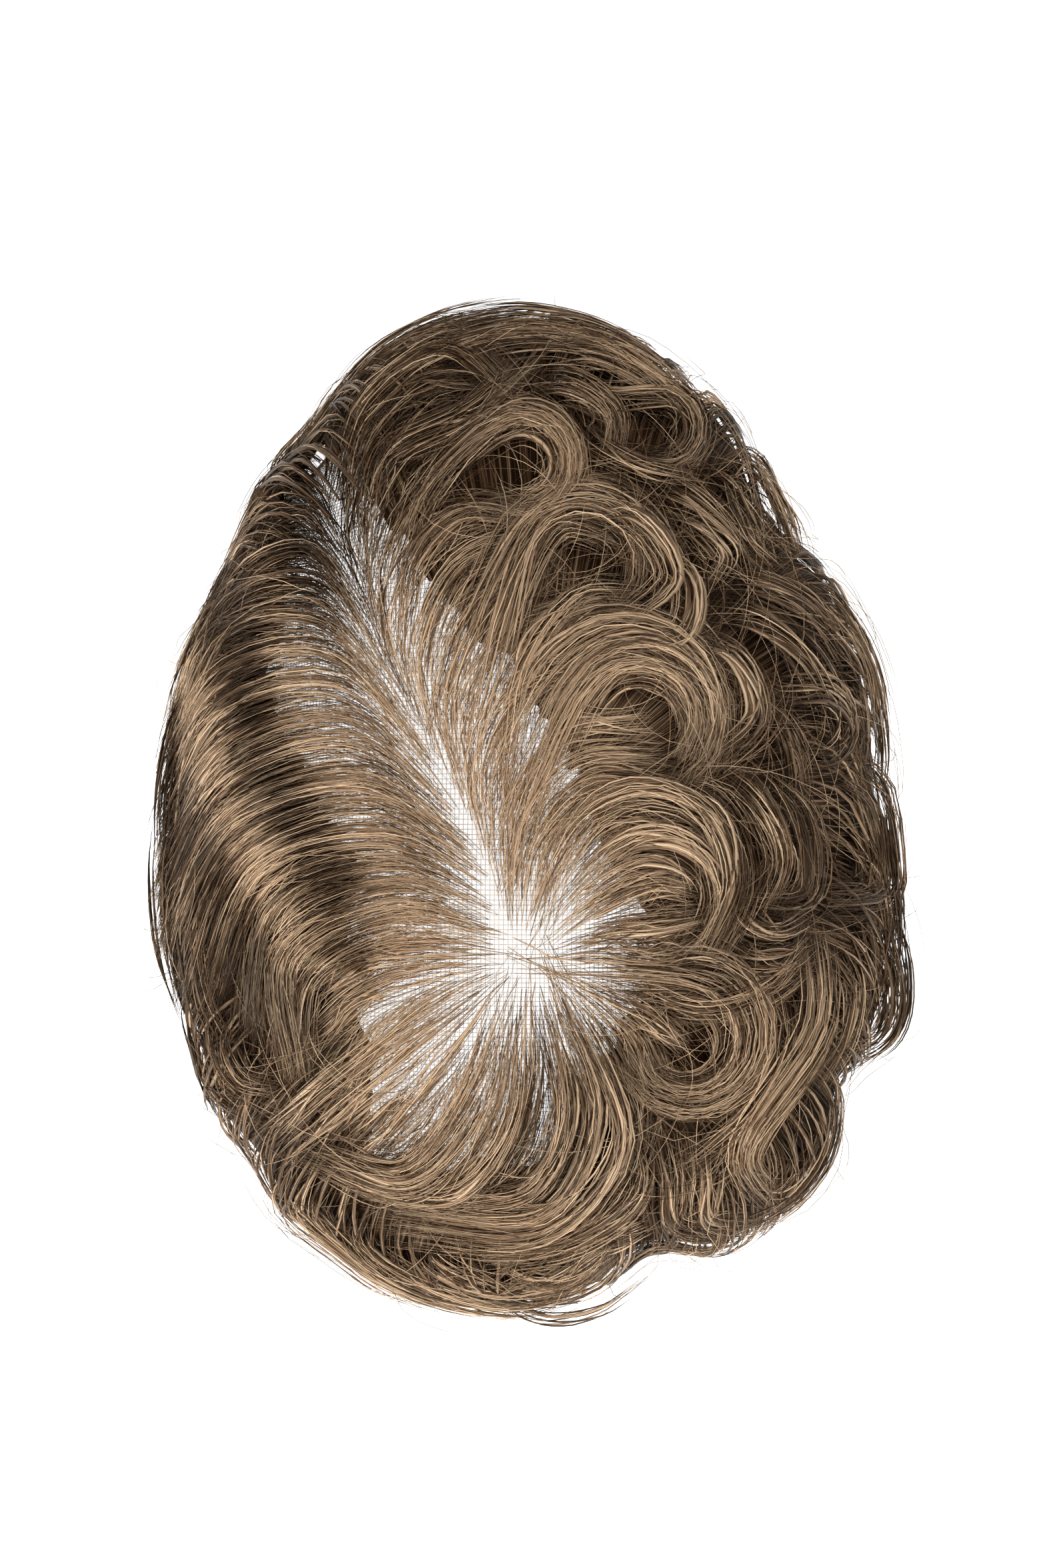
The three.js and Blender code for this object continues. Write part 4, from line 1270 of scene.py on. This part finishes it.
def lace_lines(pitch):
    """Thread lines of the square net: two crossing families over the flat lace."""
    most = int(LACE_REACH / pitch)
    lines = []
    for angle in (0.0, math.pi / 2.0):
        ahead = np.array((math.sin(angle), math.cos(angle)))
        aside = np.array((ahead[1], -ahead[0]))
        for k in range(-most, most + 1):
            run = np.linspace(-LACE_REACH, LACE_REACH, LACE_EDGE_SAMPLES)
            _, inside = thread_places(run, k * pitch, ahead, aside)
            if inside.sum() < 6:
                continue
            low = run[inside][0]
            high = run[inside][-1]
            run = np.linspace(low, high, max(3, int(round((high - low) / LACE_STRETCH))) + 1)
            places, _ = thread_places(run, k * pitch, ahead, aside)
            lines.append(places)
    return lines


class HAIRPIECE_OT_lace_base(bpy.types.Operator):
    """Make the lace net as crossing threads with an edge thread round the rim"""

    bl_idname = "hairpiece.lace_base"
    bl_label = "Lace base"

    def execute(self, context):
        settings = context.scene.hairpiece_lace
        radius = settings.thread / MM / 2.0
        tone = np.array((0.5,))
        parts = []
        for line in lace_lines(settings.pitch / MM):
            line[:, 0], line[:, 1] = inside_outline(line[:, 0], line[:, 1], LACE_SPARE)
            line[:, 2] = np.maximum(line[:, 2], radius)
            half = np.full((1, len(line)), radius)
            parts.append(tubes(line[None], half, half, STRAND_SIDES, tone))
        rim = dome_place(np.linspace(0.0, 2.0 * math.pi, RIM_THREAD_SAMPLES), 1.0, 0.0)
        rim[:, 0], rim[:, 1] = inside_outline(rim[:, 0], rim[:, 1], LACE_SPARE)
        rim[:, 2] = RIM_THREAD_HEIGHT
        half = np.full((1, len(rim)), RIM_THREAD_RADIUS)
        parts.append(tubes(rim[None], half, half, RIM_SIDES, tone))
        piece = mesh_piece("lace_net", parts, lace_material())
        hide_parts("lace_base")
        return {"FINISHED"}


class HAIRPIECE_OT_under_hair(bpy.types.Operator):
    """Make the dark hair close to the lace, in painted shade, clear of the parting and the whorl"""

    bl_idname = "hairpiece.under_hair"
    bl_label = "Under hair"

    def execute(self, context):
        around = UNDER_HAIR_AROUND
        rings = UNDER_HAIR_RINGS
        spread = UNDER_HAIR_LAST_RATIO - UNDER_HAIR_FIRST_RATIO
        mesh = bpy.data.meshes.new("under_hair")
        shape = bmesh.new()
        grid = []
        for j in range(rings + 1):
            ratio = UNDER_HAIR_FIRST_RATIO + spread * (1.0 - (1.0 - j / rings) ** 1.5)
            layer = 1.6 + 5.4 * smooth_step((ratio - 0.62) / 0.36) + 3.0 * smooth_step((ratio - 0.965) / 0.03)
            ring = []
            for i in range(around):
                place = dome_place(2.0 * math.pi * i / around, ratio, layer)
                place[0], place[1] = inside_outline(place[0], place[1])
                place[0] *= UNDER_HAIR_WITHIN
                place[1] *= UNDER_HAIR_WITHIN
                place = (place + PLAN_SHIFT) * MM
                place[2] = max(place[2], UNDER_HAIR_LOWEST * MM)
                ring.append(shape.verts.new(place))
            grid.append(ring)
        for j in range(rings):
            for i in range(around):
                n = (i + 1) % around
                corners = (grid[j][i], grid[j + 1][i], grid[j + 1][n], grid[j][n])
                middle = sum((np.array(corner.co) for corner in corners), np.zeros(3)) / 4.0 / MM - PLAN_SHIFT
                if middle[2] < UNDER_HAIR_WALL or self.covered(middle[0], middle[1]):
                    shape.faces.new(corners)
        loose = [vert for vert in shape.verts if not vert.link_faces]
        bmesh.ops.delete(shape, geom=loose, context="VERTS")
        border = [vert for vert in shape.verts if vert.is_boundary and vert.co.z > UNDER_HAIR_WALL * MM]
        for _ in range(UNDER_HAIR_SMOOTHING):
            bmesh.ops.smooth_vert(
                shape, verts=border, factor=0.5, use_axis_x=True, use_axis_y=True, use_axis_z=True)
        bmesh.ops.recalc_face_normals(shape, faces=shape.faces)
        bmesh.ops.solidify(shape, geom=shape.faces[:], thickness=UNDER_HAIR_THICK * MM)
        bmesh.ops.recalc_face_normals(shape, faces=shape.faces)
        shape.verts.index_update()
        shape.faces.sort(key=self.face_order)
        bake = shape.loops.layers.uv.new("OFBake")
        flow = shape.loops.layers.uv.new("Flow")
        tone = shape.verts.layers.float.new("tone")
        along = shape.verts.layers.float.new("along")
        for vert in shape.verts:
            place = np.array(vert.co) / MM - PLAN_SHIFT
            # Painted shade: the under hair is dark, and lighter only where painted light lies.
            vert[tone] = UNDER_HAIR_SHADED_TONE + 0.8 * max(0.0, float(painted_light_at(place[0], place[1])))
            vert[along] = 0.3
        for face in shape.faces:
            face.smooth = True
            for loop in face.loops:
                place = np.array(loop.vert.co) / MM
                loop[bake].uv = (0.5 + place[0] / 200.0, 0.5 + place[1] / 260.0)
                loop[flow].uv = (math.atan2(place[1], place[0]) * 60.0, math.hypot(place[0], place[1]))
        shape.to_mesh(mesh)
        shape.free()
        # A copy of the hair material darkened as painted shade, with little gloss.
        mesh.materials.append(hair_material("under hair", 0.8, 0.1))
        piece = bpy.data.objects.new("under_hair", mesh)
        context.collection.objects.link(piece)
        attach(piece, "root")
        return {"FINISHED"}

    def face_order(self, face):
        """A number that puts the faces in the same order in every run."""
        numbers = [vert.index for vert in face.verts]
        return min(numbers) * 1e5 + max(numbers) + sum(numbers) * 1e-5

    def covered(self, x, y):
        """Whether hair is thick enough here to hide the lace."""
        gap, left = parting_distance(x, y)
        whorl = math.hypot(x - WHORL[0], y - WHORL[1])
        patch = math.hypot(x - THIN_PATCH[0], y - THIN_PATCH[1])
        if math.hypot(x - HAIRLINE_SPOT[0], y - HAIRLINE_SPOT[1]) < HAIRLINE_SPOT_REACH:
            return False
        if y > 38.0:
            return gap > 22.0 - 0.4 * (y - 38.0)
        if left and y > -30.0:
            return gap > 26.0 and whorl > 42.0
        if x < -36.0 and y < -20.0:
            return whorl > 40.0
        if y < -33.0:
            return whorl > (47.0 if x < 6.0 else 27.0) and patch > 22.0
        return gap > 27.0 and whorl > 30.0


class HAIRPIECE_OT_left_hair(bpy.types.Operator):
    """Make the arched waves on the near side of the parting"""

    bl_idname = "hairpiece.left_hair"
    bl_label = "Left hair"

    def execute(self, context):
        hair_piece("left_upper_waves", "left_hair", 11)
        hair_piece("left_lower_waves", "left_hair", 13)
        return {"FINISHED"}


class HAIRPIECE_OT_front_hair(bpy.types.Operator):
    """Make the hairline locks and ring curls at the front"""

    bl_idname = "hairpiece.front_hair"
    bl_label = "Front hair"

    def execute(self, context):
        hair_piece("front_curls", "front_hair", 23)
        return {"FINISHED"}


class HAIRPIECE_OT_right_hair(bpy.types.Operator):
    """Make the round curls and long locks on the far side of the parting"""

    bl_idname = "hairpiece.right_hair"
    bl_label = "Right hair"

    def execute(self, context):
        hair_piece("right_upper_curls", "right_hair", 37)
        hair_piece("right_lower_curls", "right_hair", 41)
        return {"FINISHED"}


class HAIRPIECE_OT_back_hair(bpy.types.Operator):
    """Make the waves that fan from the whorl to the back"""

    bl_idname = "hairpiece.back_hair"
    bl_label = "Back hair"

    def execute(self, context):
        hair_piece("back_waves", "back_hair", 53)
        return {"FINISHED"}


class HAIRPIECE_OT_parting_hair(bpy.types.Operator):
    """Make the short light strands beside the parting and round the whorl"""

    bl_idname = "hairpiece.parting_hair"
    bl_label = "Parting hair"

    def execute(self, context):
        parting_piece("parting_strands", 61)
        return {"FINISHED"}


class HAIRPIECE_OT_stray_hair(bpy.types.Operator):
    """Make the single strands that cross over the curls"""

    bl_idname = "hairpiece.stray_hair"
    bl_label = "Stray hair"

    def execute(self, context):
        settings = context.scene.hairpiece_strands
        strays = stray_strands(all_locks(), settings.strays, np.random.default_rng(83))
        piece = mesh_piece("stray_strands", (strand_tubes(*strays),), hair_material("brown hair"))
        return {"FINISHED"}


class HAIRPIECE_OT_rim_fringe(bpy.types.Operator):
    """Make the short locks that hang round the rim to the floor"""

    bl_idname = "hairpiece.rim_fringe"
    bl_label = "Rim fringe"

    def execute(self, context):
        settings = context.scene.hairpiece_strands
        rng = np.random.default_rng(71)
        lines, tones = rim_strands(settings.rim_locks, settings.rim_strands, rng)
        wide = np.where(rng.random(len(lines)) < 0.4, rng.uniform(3.5, 6.0, len(lines)), 1.3)
        radius = strand_radius(wide, lines.shape[1], settings.thickness)
        thick = np.minimum(radius, 0.35)
        fringe = tubes(lines, radius, thick, STRAND_SIDES, tones)
        piece = mesh_piece("rim_fringe", (fringe,), hair_material("brown hair"))
        return {"FINISHED"}


class HAIRPIECE_OT_stage(bpy.types.Operator):
    """Make the pale floor, the soft lights and the camera above"""

    bl_idname = "hairpiece.stage"
    bl_label = "Stage"

    def execute(self, context):
        settings = context.scene.hairpiece_stage
        mesh = bpy.data.meshes.new("floor")
        shape = bmesh.new()
        bmesh.ops.create_grid(shape, x_segments=1, y_segments=1, size=FLOOR_HALF_SIZE)
        shape.to_mesh(mesh)
        shape.free()
        floor = bpy.data.objects.new("floor", mesh)
        context.collection.objects.link(floor)
        material, nodes, links, shader = new_material("pale floor")
        shader.inputs["Base Color"].default_value = (0.9, 0.9, 0.9, 1.0)
        shader.inputs["Roughness"].default_value = 1.0
        shader.inputs["Specular IOR Level"].default_value = 0.0
        shader.inputs["Emission Color"].default_value = (1.0, 1.0, 1.0, 1.0)
        seen = nodes.new("ShaderNodeLightPath")
        glow = nodes.new("ShaderNodeMapRange")
        glow.inputs["To Min"].default_value = settings.floor_bounce
        glow.inputs["To Max"].default_value = settings.floor_glow
        links.new(seen.outputs["Is Camera Ray"], glow.inputs["Value"])
        links.new(glow.outputs["Result"], shader.inputs["Emission Strength"])
        mesh.materials.append(material)

        world = context.scene.world or bpy.data.worlds.new("world")
        context.scene.world = world
        world.use_nodes = True
        sky = world.node_tree.nodes.get("Background")
        sky.inputs["Color"].default_value = (1.0, 1.0, 1.0, 1.0)
        sky.inputs["Strength"].default_value = SKY_STRENGTH

        for name, place, size, power in LIGHTS:
            self.soft_light(context, name, place, size, power)

        aim_x = (CAMERA_AIM[0] + PLAN_SHIFT[0]) * MM
        aim_y = (CAMERA_AIM[1] + PLAN_SHIFT[1]) * MM
        aim_z = CAMERA_AIM[2] * MM
        camera_data = bpy.data.cameras.new("camera")
        camera_data.sensor_width = SENSOR_WIDTH
        camera_data.lens = SENSOR_WIDTH * settings.camera_distance / settings.view_height
        camera_data.clip_end = 20.0
        camera = bpy.data.objects.new("camera", camera_data)
        context.collection.objects.link(camera)
        camera.location = (aim_x, aim_y, aim_z + settings.camera_distance)
        context.scene.camera = camera
        context.scene.view_settings.view_transform = "Standard"
        return {"FINISHED"}

    def soft_light(self, context, name, place, size, power):
        data = bpy.data.lights.new(name, "AREA")
        data.shape = "DISK"
        data.size = size
        data.energy = power
        light = bpy.data.objects.new(name, data)
        context.collection.objects.link(light)
        light.location = place
        aim = -np.array(place)
        aim /= np.linalg.norm(aim)
        light.rotation_euler = (math.acos(-aim[2]), 0.0, math.atan2(-aim[0], aim[1]))


class HAIRPIECE_PT_pieces(bpy.types.Panel):
    """List of the pieces that can be made"""

    bl_idname = "HAIRPIECE_PT_pieces"
    bl_label = "Hairpiece"
    bl_space_type = "VIEW_3D"
    bl_region_type = "UI"
    bl_category = "Hairpiece"

    def draw(self, context):
        for operator in OPERATORS:
            self.layout.operator(operator.bl_idname)


SETTINGS = (
    ("hairpiece_strands", StrandSettings),
    ("hairpiece_lace", LaceSettings),
    ("hairpiece_stage", StageSettings),
)
OPERATORS = (
    HAIRPIECE_OT_stage,
    HAIRPIECE_OT_lace_base,
    HAIRPIECE_OT_under_hair,
    HAIRPIECE_OT_left_hair,
    HAIRPIECE_OT_front_hair,
    HAIRPIECE_OT_right_hair,
    HAIRPIECE_OT_back_hair,
    HAIRPIECE_OT_parting_hair,
    HAIRPIECE_OT_stray_hair,
    HAIRPIECE_OT_rim_fringe,
)


def register():
    for name, group in SETTINGS:
        bpy.utils.register_class(group)
        setattr(bpy.types.Scene, name, bpy.props.PointerProperty(type=group))
    for operator in OPERATORS:
        bpy.utils.register_class(operator)
    bpy.utils.register_class(HAIRPIECE_PT_pieces)


def unregister():
    bpy.utils.unregister_class(HAIRPIECE_PT_pieces)
    for operator in reversed(OPERATORS):
        bpy.utils.unregister_class(operator)
    for name, group in reversed(SETTINGS):
        delattr(bpy.types.Scene, name)
        bpy.utils.unregister_class(group)


def main():
    register()
    bpy.ops.hairpiece.stage()
    bpy.ops.hairpiece.lace_base()
    bpy.ops.hairpiece.under_hair()
    bpy.ops.hairpiece.left_hair()
    bpy.ops.hairpiece.front_hair()
    bpy.ops.hairpiece.right_hair()
    bpy.ops.hairpiece.back_hair()
    bpy.ops.hairpiece.parting_hair()
    bpy.ops.hairpiece.stray_hair()
    bpy.ops.hairpiece.rim_fringe()


if __name__ == "__main__":
    main()
